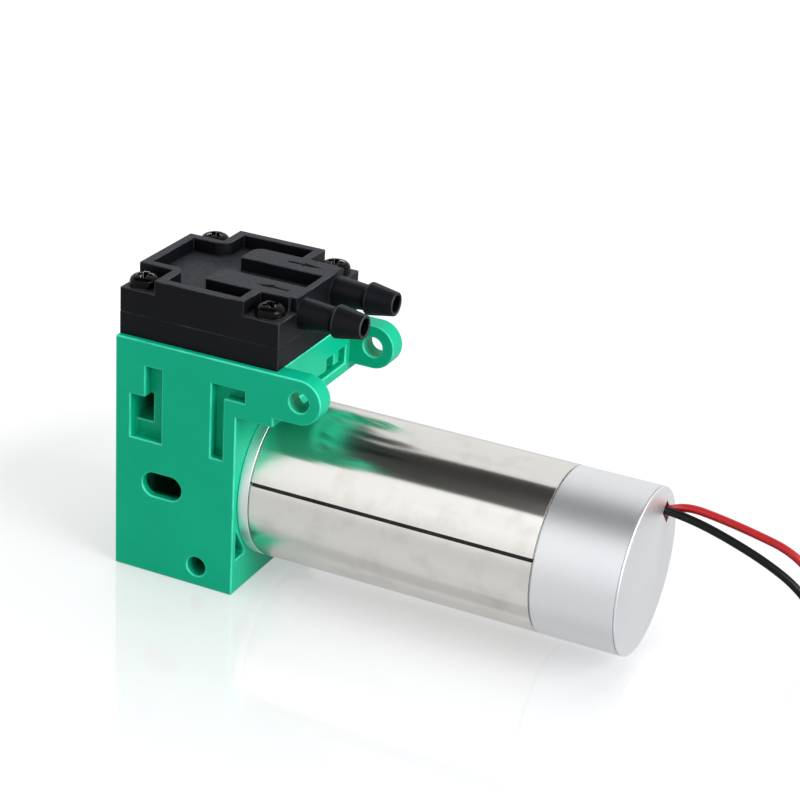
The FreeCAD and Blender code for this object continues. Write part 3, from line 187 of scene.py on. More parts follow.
def srgb(red, green, blue):
    """A colour as it is written, 0 to 255, in the renderer's own scale."""
    def linear(value):
        share = value / 255
        return share / 12.92 if share <= 0.04045 else ((share + 0.055) / 1.055) ** 2.4
    return (linear(red), linear(green), linear(blue), 1)


def add(tree, kind, inputs=None, **settings):
    """A shader node, with its settings made and its inputs set or linked."""
    node = tree.nodes.new(f"ShaderNode{kind}")
    for key, value in settings.items():
        setattr(node, key, value)
    for key, value in (inputs or {}).items():
        if isinstance(value, bpy.types.NodeSocket):
            tree.links.new(value, node.inputs[key])
        else:
            node.inputs[key].default_value = value
    return node


def new_group(name, inputs, outputs):
    tree = bpy.data.node_groups.new(name, "ShaderNodeTree")
    for label, default in inputs.items():
        socket = tree.interface.new_socket(label, in_out="INPUT", socket_type="NodeSocketFloat")
        socket.default_value = default
    for label in outputs:
        tree.interface.new_socket(label, in_out="OUTPUT", socket_type="NodeSocketFloat")
    source = tree.nodes.new("NodeGroupInput")
    target = tree.nodes.new("NodeGroupOutput")
    return tree, source.outputs, target.inputs


def ramp(tree, value, low, high):
    """Stretches a value between low and high to 0 and 1."""
    node = add(tree, "MapRange", {"Value": value, "From Min": low, "From Max": high})
    return node.outputs["Result"]


def between(tree, share, low, high):
    """A value from low, where the share is 0, to high, where it is 1."""
    node = add(tree, "MapRange", {"Value": share, "To Min": low, "To Max": high})
    return node.outputs["Result"]


def mix_colour(tree, share, first, second):
    return add(tree, "Mix", {0: share, 6: first, 7: second}, data_type="RGBA").outputs[2]


def calculate(tree, operation, *values):
    """A math node's result, held between 0 and 1."""
    return add(tree, "Math", dict(enumerate(values)), operation=operation, use_clamp=True).outputs[0]


def multiply(tree, first, second):
    return add(tree, "Math", {0: first, 1: second}, operation="MULTIPLY").outputs[0]


def make_grain():
    """A fine even grain and a slow drift of tone, as on moulded or blasted surfaces."""
    tree, given, out = new_group("grain", {"Grain Scale": 5000, "Drift Scale": 60}, ("Height", "Drift"))
    place = add(tree, "TexCoord").outputs["Object"]
    fine = add(tree, "TexNoise", {"Vector": place, "Scale": given["Grain Scale"], "Detail": 3,
                                  "Roughness": 0.6})
    slow = add(tree, "TexNoise", {"Vector": place, "Scale": given["Drift Scale"], "Detail": 4,
                                  "Roughness": 0.55})
    tree.links.new(fine.outputs["Fac"], out["Height"])
    tree.links.new(ramp(tree, slow.outputs["Fac"], 0.3, 0.7), out["Drift"])
    return tree


def make_edge_highlights():
    """A mask for painted highlights on the rounded outer edges that don't look down, broken by noise. It
    reads what round_edges() wrote on them.
    """
    tree, given, out = new_group("edges", {"Least": 0.5}, ("Mask",))
    rim = add(tree, "Attribute", attribute_name=RIM)
    place = add(tree, "TexCoord").outputs["Object"]
    uneven = add(tree, "TexNoise", {"Vector": place, "Scale": 260, "Detail": 2})
    strength = add(tree, "MapRange", {"Value": uneven.outputs["Fac"], "From Min": 0.35, "From Max": 0.6,
                                      "To Min": given["Least"]})
    facing = add(tree, "SeparateXYZ", {"Vector": add(tree, "NewGeometry").outputs["Normal"]})
    marked = multiply(tree, rim.outputs["Fac"], strength.outputs["Result"])
    tree.links.new(multiply(tree, marked, ramp(tree, facing.outputs["Z"], -0.45, 0.1)), out["Mask"])
    return tree


def make_top_sheen():
    """A speckled mask of the faces that look up, where a black moulding is painted paler: a painted sheen.
    """
    tree, given, out = new_group("top_sheen", {"Grain Scale": 2600}, ("Mask",))
    facing = add(tree, "SeparateXYZ", {"Vector": add(tree, "NewGeometry").outputs["Normal"]})
    place = add(tree, "TexCoord").outputs["Object"]
    grain = add(tree, "TexNoise", {"Vector": place, "Scale": given["Grain Scale"], "Detail": 2})
    up = ramp(tree, facing.outputs["Z"], 0.95, 0.995)
    speckled = add(tree, "MapRange", {"Value": grain.outputs["Fac"], "From Min": 0.35, "From Max": 0.65,
                                      "To Min": 0.55, "To Max": 1.0})
    tree.links.new(multiply(tree, up, speckled.outputs["Result"]), out["Mask"])
    return tree


def make_hollow_shade():
    """A mask of the insides of pockets and slots, where hardly any light comes, for painted shade."""
    tree, given, out = new_group("hollow_shade", {"Reach": 0.004, "Start": 0.27}, ("Mask",))
    open_sky = add(tree, "AmbientOcclusion", {"Distance": given["Reach"]}, samples=12, only_local=True)
    tree.links.new(ramp(tree, open_sky.outputs["AO"], given["Start"], 0.06), out["Mask"])
    return tree


def make_streaks():
    """Fine lengthwise drawing marks, with a few stronger ones, along X."""
    tree, given, out = new_group("streaks", {"Across": 2500, "Along": 60}, ("Height", "Tone"))
    place = add(tree, "TexCoord").outputs["Object"]
    split = add(tree, "SeparateXYZ", {"Vector": place}).outputs
    stretched = add(tree, "CombineXYZ", {
        "X": multiply(tree, split["X"], given["Along"]),
        "Y": multiply(tree, split["Y"], given["Across"]),
        "Z": multiply(tree, split["Z"], given["Across"]),
    }).outputs[0]
    fine = add(tree, "TexNoise", {"Vector": stretched, "Scale": 1, "Detail": 3, "Roughness": 0.6})
    broad = add(tree, "TexNoise", {"Vector": stretched, "Scale": 0.12, "Detail": 4, "Roughness": 0.6})
    tree.links.new(fine.outputs["Fac"], out["Height"])
    tree.links.new(ramp(tree, broad.outputs["Fac"], 0.3, 0.7), out["Tone"])
    return tree


GRAIN = make_grain()
# the mask of painted highlights on rounded edges
EDGES = make_edge_highlights()
# the mask of a painted sheen on the faces that look up
TOP_SHEEN = make_top_sheen()
# the mask of painted shade in pockets and slots
HOLLOW_SHADE = make_hollow_shade()
STREAKS = make_streaks()


def use(tree, group, **values):
    """The outputs of a group placed in a material with its own values."""
    node = tree.nodes.new("ShaderNodeGroup")
    node.node_tree = group
    for label, value in values.items():
        node.inputs[label.replace("_", " ")].default_value = value
    return node.outputs


def new_material(name, **shader):
    """A material whose shader has these plain values. Returns it, its tree and its shader node."""
    material = bpy.data.materials.new(name)
    material.use_nodes = True
    principled = material.node_tree.nodes["Principled BSDF"]
    for label, value in shader.items():
        principled.inputs[label.replace("_", " ")].default_value = value
    return material, material.node_tree, principled


def bump(tree, principled, height, depth):
    """Raises the surface by up to `depth` metres where height is 1."""
    node = add(tree, "Bump", {"Height": height, "Strength": 1, "Distance": depth})
    tree.links.new(node.outputs["Normal"], principled.inputs["Normal"])


def vary_roughness(tree, principled, value, low, high):
    tree.links.new(between(tree, value, low, high), principled.inputs["Roughness"])


def moulded(name, dark, light, edge, rough, grain_scale, depth, top_sheen_colour=None, hollow_shade_colour=None, specular=0.5,
            least_edge_highlight=0.5, hollow_shade_start=0.27):
    """Injection moulded plastic, or another smooth coat: tone drift, painted highlights on the rounded
    edges, a painted sheen on upward faces and painted shade in pockets where asked, and a fine grain.
    """
    material, tree, principled = new_material(name, Specular_IOR_Level=specular)
    grain = use(tree, GRAIN, Grain_Scale=grain_scale)
    colour = mix_colour(tree, grain["Drift"], dark, light)
    # a painted sheen on the faces that look up
    if top_sheen_colour:
        colour = mix_colour(tree, use(tree, TOP_SHEEN)["Mask"], colour, top_sheen_colour)
    # painted shade in pockets and slots
    if hollow_shade_colour:
        colour = mix_colour(tree, use(tree, HOLLOW_SHADE, Start=hollow_shade_start)["Mask"], colour, hollow_shade_colour)
    # painted highlights along the rounded outer edges that don't look down, in the edge colour
    colour = mix_colour(tree, use(tree, EDGES, Least=least_edge_highlight)["Mask"], colour, edge)
    tree.links.new(colour, principled.inputs["Base Color"])
    vary_roughness(tree, principled, grain["Height"], *rough)
    bump(tree, principled, grain["Height"], depth)
    return material


def drawn_metal(name, dark, light, dull, rough, across, along, depth, smeared=False):
    """Metal with fine marks along the motor's axis. Polished round the axis, it smears what it mirrors."""
    material, tree, principled = new_material(name, Metallic=1)
    if smeared:
        principled.inputs["Anisotropic"].default_value = 0.92
        principled.inputs["Anisotropic Rotation"].default_value = 0.25
        round_axis = add(tree, "Tangent", direction_type="RADIAL", axis="X")
        tree.links.new(round_axis.outputs["Tangent"], principled.inputs["Tangent"])
    marks = use(tree, STREAKS, Across=across, Along=along)
    colour = mix_colour(tree, marks["Tone"], dark, light)
    smudges = use(tree, GRAIN, Grain_Scale=3000, Drift_Scale=240)
    colour = mix_colour(tree, ramp(tree, smudges["Drift"], 0.45, 2.2), colour, dull)
    tree.links.new(colour, principled.inputs["Base Color"])
    vary_roughness(tree, principled, marks["Tone"], *rough)
    bump(tree, principled, marks["Height"], depth)
    return material


def grained_metal(name, dark, light, rough, grain_scale, depth):
    """Metal with a fine even grain, blasted, sintered or turned."""
    material, tree, principled = new_material(name, Metallic=1)
    grain = use(tree, GRAIN, Grain_Scale=grain_scale)
    colour = mix_colour(tree, grain["Drift"], dark, light)
    tree.links.new(colour, principled.inputs["Base Color"])
    vary_roughness(tree, principled, grain["Height"], *rough)
    bump(tree, principled, grain["Height"], depth)
    return material


def insulation(name, dark, light, rough, specular):
    """Soft lead insulation with a faint waviness."""
    material, tree, principled = new_material(name, Specular_IOR_Level=specular)
    grain = use(tree, GRAIN, Grain_Scale=2200, Drift_Scale=120)
    colour = mix_colour(tree, grain["Drift"], dark, light)
    tree.links.new(colour, principled.inputs["Base Color"])
    vary_roughness(tree, principled, grain["Height"], *rough)
    bump(tree, principled, grain["Height"], 0.006 * MM)
    return material


def ribbed_metal(name, scale, distortion, dark, light, rough, depth):
    """Metal in fine slanting ribs, as enamelled copper turns or the twisted strands of a stripped end."""
    material, tree, principled = new_material(name, Metallic=1)
    place = add(tree, "TexCoord").outputs["Object"]
    ribs = add(tree, "TexWave", {"Vector": place, "Scale": scale, "Distortion": distortion, "Detail": 1},
               wave_type="BANDS", bands_direction="DIAGONAL").outputs["Fac"]
    tree.links.new(mix_colour(tree, ribs, dark, light), principled.inputs["Base Color"])
    vary_roughness(tree, principled, ribs, *rough)
    bump(tree, principled, ribs, depth)
    return material


def circuit_board():
    """A solder mask over faint copper fields."""
    material, tree, principled = new_material("board", Coat_Weight=0.4, Coat_Roughness=0.2)
    place = add(tree, "TexCoord").outputs["Object"]
    fields = add(tree, "TexVoronoi", {"Vector": place, "Scale": 420}, distance="MANHATTAN")
    colour = mix_colour(tree, ramp(tree, fields.outputs["Distance"], 0.28, 0.34),
                        srgb(40, 110, 62), srgb(20, 72, 40))
    tree.links.new(colour, principled.inputs["Base Color"])
    grain = use(tree, GRAIN, Grain_Scale=3000)
    vary_roughness(tree, principled, grain["Height"], 0.3, 0.5)
    return material


# In moulded(), the third colour is the painted highlight on rounded edges.
MATERIALS = {
    # case: the colour for pockets is painted shade
    "case_plastic": moulded("case_plastic", srgb(4, 172, 131), srgb(8, 182, 140), srgb(78, 224, 188),
                            (0.26, 0.38), 3800, 0.004 * MM, hollow_shade_colour=srgb(0, 22, 12), specular=0.12),
    # head: the colour for upward faces is a painted sheen, and the colour for pockets is painted shade
    "head_plastic": moulded("head_plastic", srgb(8, 9, 14), srgb(15, 16, 21), srgb(62, 64, 71),
                            (0.4, 0.56), 3600, 0.02 * MM, top_sheen_colour=srgb(52, 53, 58), hollow_shade_colour=srgb(1, 1, 2),
                            specular=0.14, least_edge_highlight=0.1, hollow_shade_start=0.8),
    "valve_rubber": moulded("valve_rubber", srgb(26, 26, 28), srgb(36, 36, 38), srgb(48, 48, 50),
                            (0.6, 0.75), 3000, 0.006 * MM),
    "valve_sheet": moulded("valve_sheet", srgb(190, 178, 150), srgb(204, 192, 164), srgb(220, 210, 186),
                           (0.4, 0.55), 3000, 0.004 * MM),
    # black steel: the near-white third colour is painted glints on the screws' rounded edges
    "black_steel": moulded("black_steel", srgb(4, 4, 5), srgb(8, 8, 9), srgb(206, 208, 212),
                           (0.1, 0.18), 2600, 0.003 * MM, specular=0.1, least_edge_highlight=0.0),
    "bright_steel": grained_metal("bright_steel", srgb(176, 178, 182), srgb(204, 206, 210), (0.2, 0.34),
                                  4200, 0.003 * MM),
    "rod_plastic": moulded("rod_plastic", srgb(206, 206, 198), srgb(218, 218, 210), srgb(232, 232, 226),
                           (0.38, 0.5), 3400, 0.005 * MM),
    "clamp_aluminium": grained_metal("clamp_aluminium", srgb(196, 198, 203), srgb(214, 216, 221),
                                     (0.28, 0.4), 4200, 0.003 * MM),
    "crank_brass": grained_metal("crank_brass", srgb(186, 150, 84), srgb(208, 172, 104), (0.24, 0.38),
                                 4200, 0.003 * MM),
    "sleeve_nickel": drawn_metal("sleeve_nickel", srgb(236, 234, 229), srgb(249, 247, 242),
                                 srgb(206, 204, 198), (0.15, 0.26), 900, 14, 0.001 * MM, smeared=True),
    "satin_aluminium": grained_metal("satin_aluminium", srgb(244, 246, 249), srgb(250, 251, 253),
                                     (0.4, 0.5), 7000, 0.006 * MM),
    # darker than bare steel, so that the slit in the sleeve shows dark: painted shade
    "can_steel": drawn_metal("can_steel", srgb(52, 52, 54), srgb(74, 74, 76), srgb(30, 30, 31),
                             (0.4, 0.55), 1600, 30, 0.003 * MM),
    "magnet": grained_metal("magnet", srgb(66, 66, 70), srgb(84, 84, 88), (0.4, 0.6), 3000, 0.008 * MM),
    "winding_copper": ribbed_metal("winding_copper", 1400, 0.4, srgb(120, 52, 24), srgb(214, 126, 72),
                                   (0.5, 0.3), 0.05 * MM),
    "board": circuit_board(),
    "board_parts": moulded("board_parts", srgb(30, 30, 32), srgb(40, 40, 43), srgb(60, 60, 64),
                           (0.4, 0.55), 3000, 0.004 * MM),
    "red_insulation": insulation("red_insulation", srgb(158, 6, 12), srgb(178, 12, 18), (0.24, 0.34), 0.5),
    "black_insulation": insulation("black_insulation", srgb(9, 9, 10), srgb(14, 14, 15), (0.3, 0.42), 0.2),
    "tie_plastic": moulded("tie_plastic", srgb(20, 20, 22), srgb(28, 28, 30), srgb(60, 60, 64),
                           (0.35, 0.5), 3000, 0.004 * MM),
    "tinned_copper": ribbed_metal("tinned_copper", 2600, 0.6, srgb(120, 112, 100), srgb(214, 208, 198),
                                  (0.5, 0.25), 0.06 * MM),
}


# Making pieces

SMOOTH_BELOW = math.radians(35)
WELD = 0.0005 * MM
FLAT = math.radians(1)
X_AXIS = (1, 0, 0)


def finish_piece(mesh, node):
    """Makes an object of a mesh that stands for a CAD node, with that node's body, slot and finish."""
    piece = bpy.data.objects.new(f"{node}_finished", mesh)
    bpy.context.scene.collection.objects.link(piece)
    mesh.materials.clear()
    mesh.materials.append(MATERIALS[SLOT_OF[node]])
    mesh.polygons.foreach_set("use_smooth", [True] * len(mesh.polygons))
    mesh.set_sharp_from_angle(angle=SMOOTH_BELOW)
    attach(piece, BODY_OF[node])
    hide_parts(node)
    return piece


def merged(mesh):
    """A bmesh of a mesh of loose triangles, with its corners joined and its flats in one face each."""
    bm = bmesh.new()
    bm.from_mesh(mesh)
    bmesh.ops.remove_doubles(bm, verts=bm.verts, dist=WELD)
    bmesh.ops.dissolve_limit(bm, angle_limit=FLAT, verts=bm.verts, edges=bm.edges)
    return bm


def to_mesh(bm, name):
    mesh = bpy.data.meshes.new(name)
    bm.to_mesh(mesh)
    bm.free()
    return mesh


def round_edges(bm, width, segments=3, sharp=30):
    """Rounds the sharp edges of a mesh and marks the rounded faces of the outer ones."""
    rim = bm.faces.layers.float.new(RIM)
    chosen = [line for line in bm.edges
              if line.is_manifold and line.calc_face_angle() > math.radians(sharp)]
    made = bmesh.ops.bevel(bm, geom=chosen, offset=width, offset_type="OFFSET", segments=segments,
                           profile=0.5, affect="EDGES", clamp_overlap=False, material=-1)
    bm.normal_update()
    for face in made["faces"]:
        turned = sum(line.calc_face_angle_signed(0) * line.calc_length() for line in face.edges)
        face[rim] = 1.0 if turned > 0 else 0.0


def flatten_shading(piece):
    """Keeps the shade of each wide face even beside its rounded edges."""
    shading = piece.modifiers.new("shading", "WEIGHTED_NORMAL")
    shading.weight = 100
    shading.keep_sharp = True


def dress(node, edge, cutters=()):
    """A merged copy of a CAD node with its sharp edges rounded and any cutters taken out of it."""
    bm = merged(nodes[node].data)
    round_edges(bm, edge)
    mesh = to_mesh(bm, node)
    flatten_shading(finish_piece(carve(mesh, cutters) if cutters else mesh, node))


def spun(name, profile, centre, steps, turn=2 * math.pi, start=0, closed=True):
    """Spins a profile of (along, radius) points about an axis along X through a centre."""
    bm = bmesh.new()
    corners = [bm.verts.new(Vector((along, 0, radius)) + centre) for along, radius in profile]
    pairs = list(zip(corners, corners[1:]))
    if closed:
        pairs.append((corners[-1], corners[0]))
    edges = [bm.edges.new(pair) for pair in pairs]
    if start:
        bmesh.ops.rotate(bm, verts=corners, cent=centre, matrix=Matrix.Rotation(start, 3, X_AXIS))
    full = abs(turn - 2 * math.pi) < 1e-6
    bmesh.ops.spin(bm, geom=corners + edges, cent=centre, axis=X_AXIS, angle=turn, steps=steps,
                   use_merge=full, use_duplicate=False)
    if not full:
        bmesh.ops.holes_fill(bm, edges=[edge for edge in bm.edges if edge.is_boundary], sides=0)
    bmesh.ops.remove_doubles(bm, verts=bm.verts, dist=WELD)
    bmesh.ops.recalc_face_normals(bm, faces=bm.faces)
    return to_mesh(bm, name)


def carve(mesh, cutters):
    """Cuts closed meshes out of a mesh."""
    target = bpy.data.objects.new("carved", mesh)
    bpy.context.scene.collection.objects.link(target)
    tools = []
    for cutter in cutters:
        tool = bpy.data.objects.new("cutter", cutter)
        bpy.context.scene.collection.objects.link(tool)
        cutting = target.modifiers.new("cutting", "BOOLEAN")
        cutting.operation = "DIFFERENCE"
        cutting.solver = "EXACT"
        cutting.object = tool
        tools.append(tool)
    bpy.context.view_layer.update()
    view = bpy.context.evaluated_depsgraph_get()
    carved = bpy.data.meshes.new_from_object(target.evaluated_get(view), depsgraph=view)
    for used in [target, *tools]:
        bpy.data.objects.remove(used)
    return carved


def block(lengths, place, taper=1.0, rounding=0.0):
    """A closed box, narrower at its foot by the taper, with its upright edges rounded."""
    bm = bmesh.new()
    bmesh.ops.create_cube(bm, size=1)
    bmesh.ops.scale(bm, vec=lengths, verts=bm.verts)
    foot = [vert for vert in bm.verts if vert.co.z < 0]
    bmesh.ops.scale(bm, vec=(taper, taper, 1), verts=foot)
    if rounding:
        upright = [edge for edge in bm.edges
                   if abs(edge.verts[0].co.z - edge.verts[1].co.z) > 0.9 * lengths[2]]
        bmesh.ops.bevel(bm, geom=upright, offset=rounding, offset_type="OFFSET", segments=4, profile=0.5,
                        affect="EDGES", clamp_overlap=True, material=-1)
    bmesh.ops.transform(bm, matrix=place, verts=bm.verts)
    return to_mesh(bm, "block")


# The motor's sleeve, open along one slit

SLEEVE_WALL = 1.0 * MM
SLEEVE_EDGE = 0.1 * MM
FLANGE_GROOVE = 0.22 * MM
FLANGE_GROOVE_DEPTH = 0.7 * MM
SLIT_WIDTH = 0.55 * MM
SLIT_RISE = math.radians(15.7)
SLEEVE_STEPS = 320


def motor_sleeve():
    inner = MOTOR_RADIUS - SLEEVE_WALL
    low, high = sleeve_low.x, sleeve_high.x
    lip = low + FLANGE_GROOVE
    profile = (
        (low, inner),
        (low, MOTOR_RADIUS - FLANGE_GROOVE_DEPTH),
        (lip, MOTOR_RADIUS - FLANGE_GROOVE_DEPTH),
        (lip, MOTOR_RADIUS - SLEEVE_EDGE),
        (lip + SLEEVE_EDGE * 0.3, MOTOR_RADIUS - SLEEVE_EDGE * 0.3),
        (lip + SLEEVE_EDGE, MOTOR_RADIUS),
        (high - SLEEVE_EDGE, MOTOR_RADIUS),
        (high - SLEEVE_EDGE * 0.3, MOTOR_RADIUS - SLEEVE_EDGE * 0.3),
        (high, MOTOR_RADIUS - SLEEVE_EDGE),
        (high, inner),
    )
    slit = SLIT_WIDTH / MOTOR_RADIUS
    # a turn of 90 degrees less the slit's rise about +X takes the top of the tube to the slit's lower side
    start = math.pi / 2 - SLIT_RISE
    mesh = spun("motor_sleeve", profile, MOTOR_CENTRE, SLEEVE_STEPS, turn=2 * math.pi - slit, start=start)
    finish_piece(mesh, "motor_sleeve")


# The end cap, with the slot for the leads cut through its face

CAP_WALL = 1.0 * MM
CAP_FLOOR = 1.2 * MM
CAP_BEVEL = 0.2 * MM
JOINT_GROOVE = 0.2 * MM
JOINT_DEPTH = 0.6 * MM
RIM_GROOVE = 0.16 * MM
RIM_GROOVE_DEPTH = 0.24 * MM
SLOT_SIZE = (3.5 * MM, 2.05 * MM)
SLOT_TURN = math.radians(-46)
SLOT_OFFSET = Vector((0, 6.5, 6.35)) * MM
SLOT_ROUNDING = 0.3 * MM
CAP_STEPS = 256


def end_cap():
    inner = MOTOR_RADIUS - CAP_WALL
    low, high = cap_low.x, cap_high.x
    profile = (
        (low, inner),
        (low, MOTOR_RADIUS - JOINT_DEPTH),
        (low + JOINT_GROOVE, MOTOR_RADIUS - JOINT_DEPTH),
        (low + JOINT_GROOVE, MOTOR_RADIUS - JOINT_GROOVE),
        (low + 1.5 * JOINT_GROOVE, MOTOR_RADIUS),
        (high - CAP_BEVEL - RIM_GROOVE, MOTOR_RADIUS),
        (high - CAP_BEVEL - RIM_GROOVE * 0.8, MOTOR_RADIUS - RIM_GROOVE_DEPTH),
        (high - CAP_BEVEL - RIM_GROOVE * 0.2, MOTOR_RADIUS - RIM_GROOVE_DEPTH),
        (high - CAP_BEVEL, MOTOR_RADIUS),
        (high - CAP_BEVEL * 0.6, MOTOR_RADIUS - CAP_BEVEL * 0.08),
        (high - CAP_BEVEL * 0.29, MOTOR_RADIUS - CAP_BEVEL * 0.29),
        (high - CAP_BEVEL * 0.08, MOTOR_RADIUS - CAP_BEVEL * 0.6),
        (high, MOTOR_RADIUS - CAP_BEVEL),
        (high, 0),
        (high - CAP_FLOOR, 0),
        (high - CAP_FLOOR, inner),
    )
    mesh = spun("end_cap", profile, MOTOR_CENTRE, CAP_STEPS)
    place = Matrix.Translation(MOTOR_CENTRE + SLOT_OFFSET + Vector((high - CAP_FLOOR / 2, 0, 0)))
    turn = Matrix.Rotation(SLOT_TURN, 4, "X") @ Matrix.Rotation(math.pi / 2, 4, "Y")
    slot = block((SLOT_SIZE[1], SLOT_SIZE[0], CAP_FLOOR * 3), place @ turn, rounding=SLOT_ROUNDING)
    finish_piece(carve(mesh, [slot]), "end_cap")


# The head's four screws: a pan head with a cross recess on a plain shank

SCREW_HEAD_RADIUS = 2.15 * MM
SCREW_HEAD_HEIGHT = 1.7 * MM
SCREW_HEAD_SIDE = 0.65 * MM
SCREW_HEAD_EDGE = 0.1 * MM
SHANK_RADIUS = 0.95 * MM
SHANK_LENGTH = 12.5 * MM
CROSS_LENGTH = 3.1 * MM
CROSS_WIDTH = 0.95 * MM
CROSS_DEPTH = 1.3 * MM
CROSS_TAPER = 0.55
CROSS_ROUNDING = 0.08 * MM
# the rounded screw edges carry painted glints
SCREW_EDGE_BREAK = 0.06 * MM
SCREW_EDGE_BREAK_ANGLE = 40
SCREW_TURNS = (0.3, 1.1, 0.75, 0.2)
SCREW_STEPS = 40
DOME_STEPS = 6
DOME_FULLNESS = 0.6


def screw_places():
    """The four axes on the cover's ledge, from the corners of the CAD screws' box."""
    low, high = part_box("head_screws")
    places = []
    for x in (low.x + SCREW_HEAD_RADIUS, high.x - SCREW_HEAD_RADIUS):
        for y in (low.y + SCREW_HEAD_RADIUS, high.y - SCREW_HEAD_RADIUS):
            places.append(Vector((x, y, high.z - SCREW_HEAD_HEIGHT)))
    return places


def glint_edges(mesh):
    """Breaks the sharp edges of a plated piece a little and marks them for painted glints."""
    bm = merged(mesh)
    round_edges(bm, SCREW_EDGE_BREAK, segments=1, sharp=SCREW_EDGE_BREAK_ANGLE)
    return to_mesh(bm, "glint_edged")


def head_screws():
    profile = [
        (-SHANK_LENGTH, 0),
        (-SHANK_LENGTH, SHANK_RADIUS / 2),
        (-SHANK_LENGTH + SHANK_RADIUS, SHANK_RADIUS),
        (0, SHANK_RADIUS),
        (0, SCREW_HEAD_RADIUS - SCREW_HEAD_EDGE),
        (SCREW_HEAD_EDGE, SCREW_HEAD_RADIUS),
    ]
    for step in range(DOME_STEPS + 1):
        angle = math.pi / 2 * step / DOME_STEPS
        rise = SCREW_HEAD_SIDE + (SCREW_HEAD_HEIGHT - SCREW_HEAD_SIDE) * math.sin(angle)
        width = math.cos(angle) ** DOME_FULLNESS if step < DOME_STEPS else 0
        profile.append((rise, SCREW_HEAD_RADIUS * width))
    joined = bmesh.new()
    for place, turn in zip(screw_places(), SCREW_TURNS):
        blank = spun("screw", profile, Vector(), SCREW_STEPS, closed=False)
        blank.transform(Matrix.Rotation(-math.pi / 2, 4, "Y"))
        middle = Matrix.Translation((0, 0, SCREW_HEAD_HEIGHT))
        bars = [block((length, width, 2 * CROSS_DEPTH), middle, CROSS_TAPER, CROSS_ROUNDING)
                for length, width in ((CROSS_LENGTH, CROSS_WIDTH), (CROSS_WIDTH, CROSS_LENGTH))]
        screw = glint_edges(carve(blank, bars))
        screw.transform(Matrix.Translation(place) @ Matrix.Rotation(turn, 4, "Z"))
        joined.from_mesh(screw)
    finish_piece(to_mesh(joined, "head_screws"), "head_screws")


# Rigid pieces whose CAD shape is right: a copy with edges rounded by so much, or the node with its finish

ROUNDED = {
    "crankcase": 0.2 * MM,
    "case_cover": 0.2 * MM,
    "valve_plate": 0.07 * MM,
    "head_cover": 0.14 * MM,
    "front_flange": 0.1 * MM,
    "crank": 0.1 * MM,
    "crank_set_screw": 0.05 * MM,
    "connecting_rod": 0.12 * MM,
    "coil_tie": 0.08 * MM,
}
MADE_NEW = ("motor_sleeve", "end_cap", "head_screws", "red_lead", "black_lead", "red_coil", "black_coil")

# The room behind the slot in the crankcase's side, which leaves the wall there 1 mm thick

SLOT_RELIEF_SIZE = (9.0 * MM, 3.9 * MM, 6.6 * MM)
SLOT_RELIEF_MIDDLE = Vector((-2.0, -9.9, 14.0)) * MM


def dress_rigid_pieces():
    relief = block(SLOT_RELIEF_SIZE, Matrix.Translation(SLOT_RELIEF_MIDDLE))
    for node, edge in ROUNDED.items():
        dress(node, edge, [relief] if node == "crankcase" else ())
    for node, piece in nodes.items():
        if node not in ROUNDED and node not in MADE_NEW:
            piece.data.materials.clear()
            piece.data.materials.append(MATERIALS[SLOT_OF[node]])


# Floor, world, lamps and the card that the metal mirrors. A pair is near the pump, and away from it.

FLOOR_SIZE = 4.0
# far enough below the pump that the two don't share a plane
FLOOR_DROP = 0.01 * MM
FLOOR_MIDDLE = (0.02, 0.0, 0.0)
FLOOR_WHITE = srgb(247, 248, 250)
# how pale the floor is to the light that it throws back up
FLOOR_BOUNCE = 0.62
# how much of the floor that the camera sees near the pump is plain white, how white, and from where all is
FLOOR_SHARE = 0.46
# nearer the pump that white is dimmer: a painted shade round the pump
FLOOR_LEVEL = (0.98, 1.1)
FLOOR_CLEAR = (0.06, 0.076)
# the same for the floor in a mirror, which is darker nearer the pump: a painted shadow for the metal to
# mirror
FLOOR_MIRRORED_SHARE = 0.9
FLOOR_MIRRORED_LEVEL = (0.54, 0.78)
FLOOR_MIRRORED_REACH = (0.02, 0.5)
# the floor's own faint mirroring, and where it fades beside the pump and past its end
FLOOR_SHINE = (0.15, 0.04)
FLOOR_SHINE_REACH = (0.024, 0.058)
FLOOR_SHINE_END = (0.066, 0.084)
FLOOR_SHINE_ROUGHNESS = 0.06

WORLD_LIGHT = 0.56
WORLD_MIRRORED = 0.82
WORLD_MIRRORED_RISE = 0.3
WHITE = (1, 1, 1, 1)

LIT_MIDDLE = Vector((0.02, 0, 0.02))
CEILING_MIDDLE = Vector((-0.25, -0.06, 0.62))
CEILING_LENGTHS = (1.3, 0.52, 1)
CEILING_COLOUR = (0.035, 0.0336, 0.0322, 1)


def seen_shares(tree):
    """Two values that are 1 or 0: the ray looks straight at a thing, or in a mirror or through glass."""
    path = add(tree, "LightPath").outputs
    mirrored = calculate(tree, "MAXIMUM", path["Is Glossy Ray"], path["Is Transmission Ray"])
    return path["Is Camera Ray"], mirrored


def floor_glow(tree, mirrored, place):
    """The floor's plain white, for the camera and for mirrors, and where the camera sees nothing else. Near
    the pump it is dimmer: painted shade to the camera, a painted shadow in mirrors.
    """
    away = add(tree, "VectorMath", {0: place, 1: FLOOR_MIDDLE}, operation="DISTANCE").outputs["Value"]
    cleared = ramp(tree, away, *FLOOR_CLEAR)
    in_view = between(tree, cleared, *FLOOR_LEVEL)
    in_mirror = between(tree, ramp(tree, away, *FLOOR_MIRRORED_REACH), *FLOOR_MIRRORED_LEVEL)
    level = add(tree, "Mix", {0: mirrored, 2: in_view, 3: in_mirror}).outputs[0]
    return add(tree, "Emission", {"Color": WHITE, "Strength": level}).outputs[0], cleared


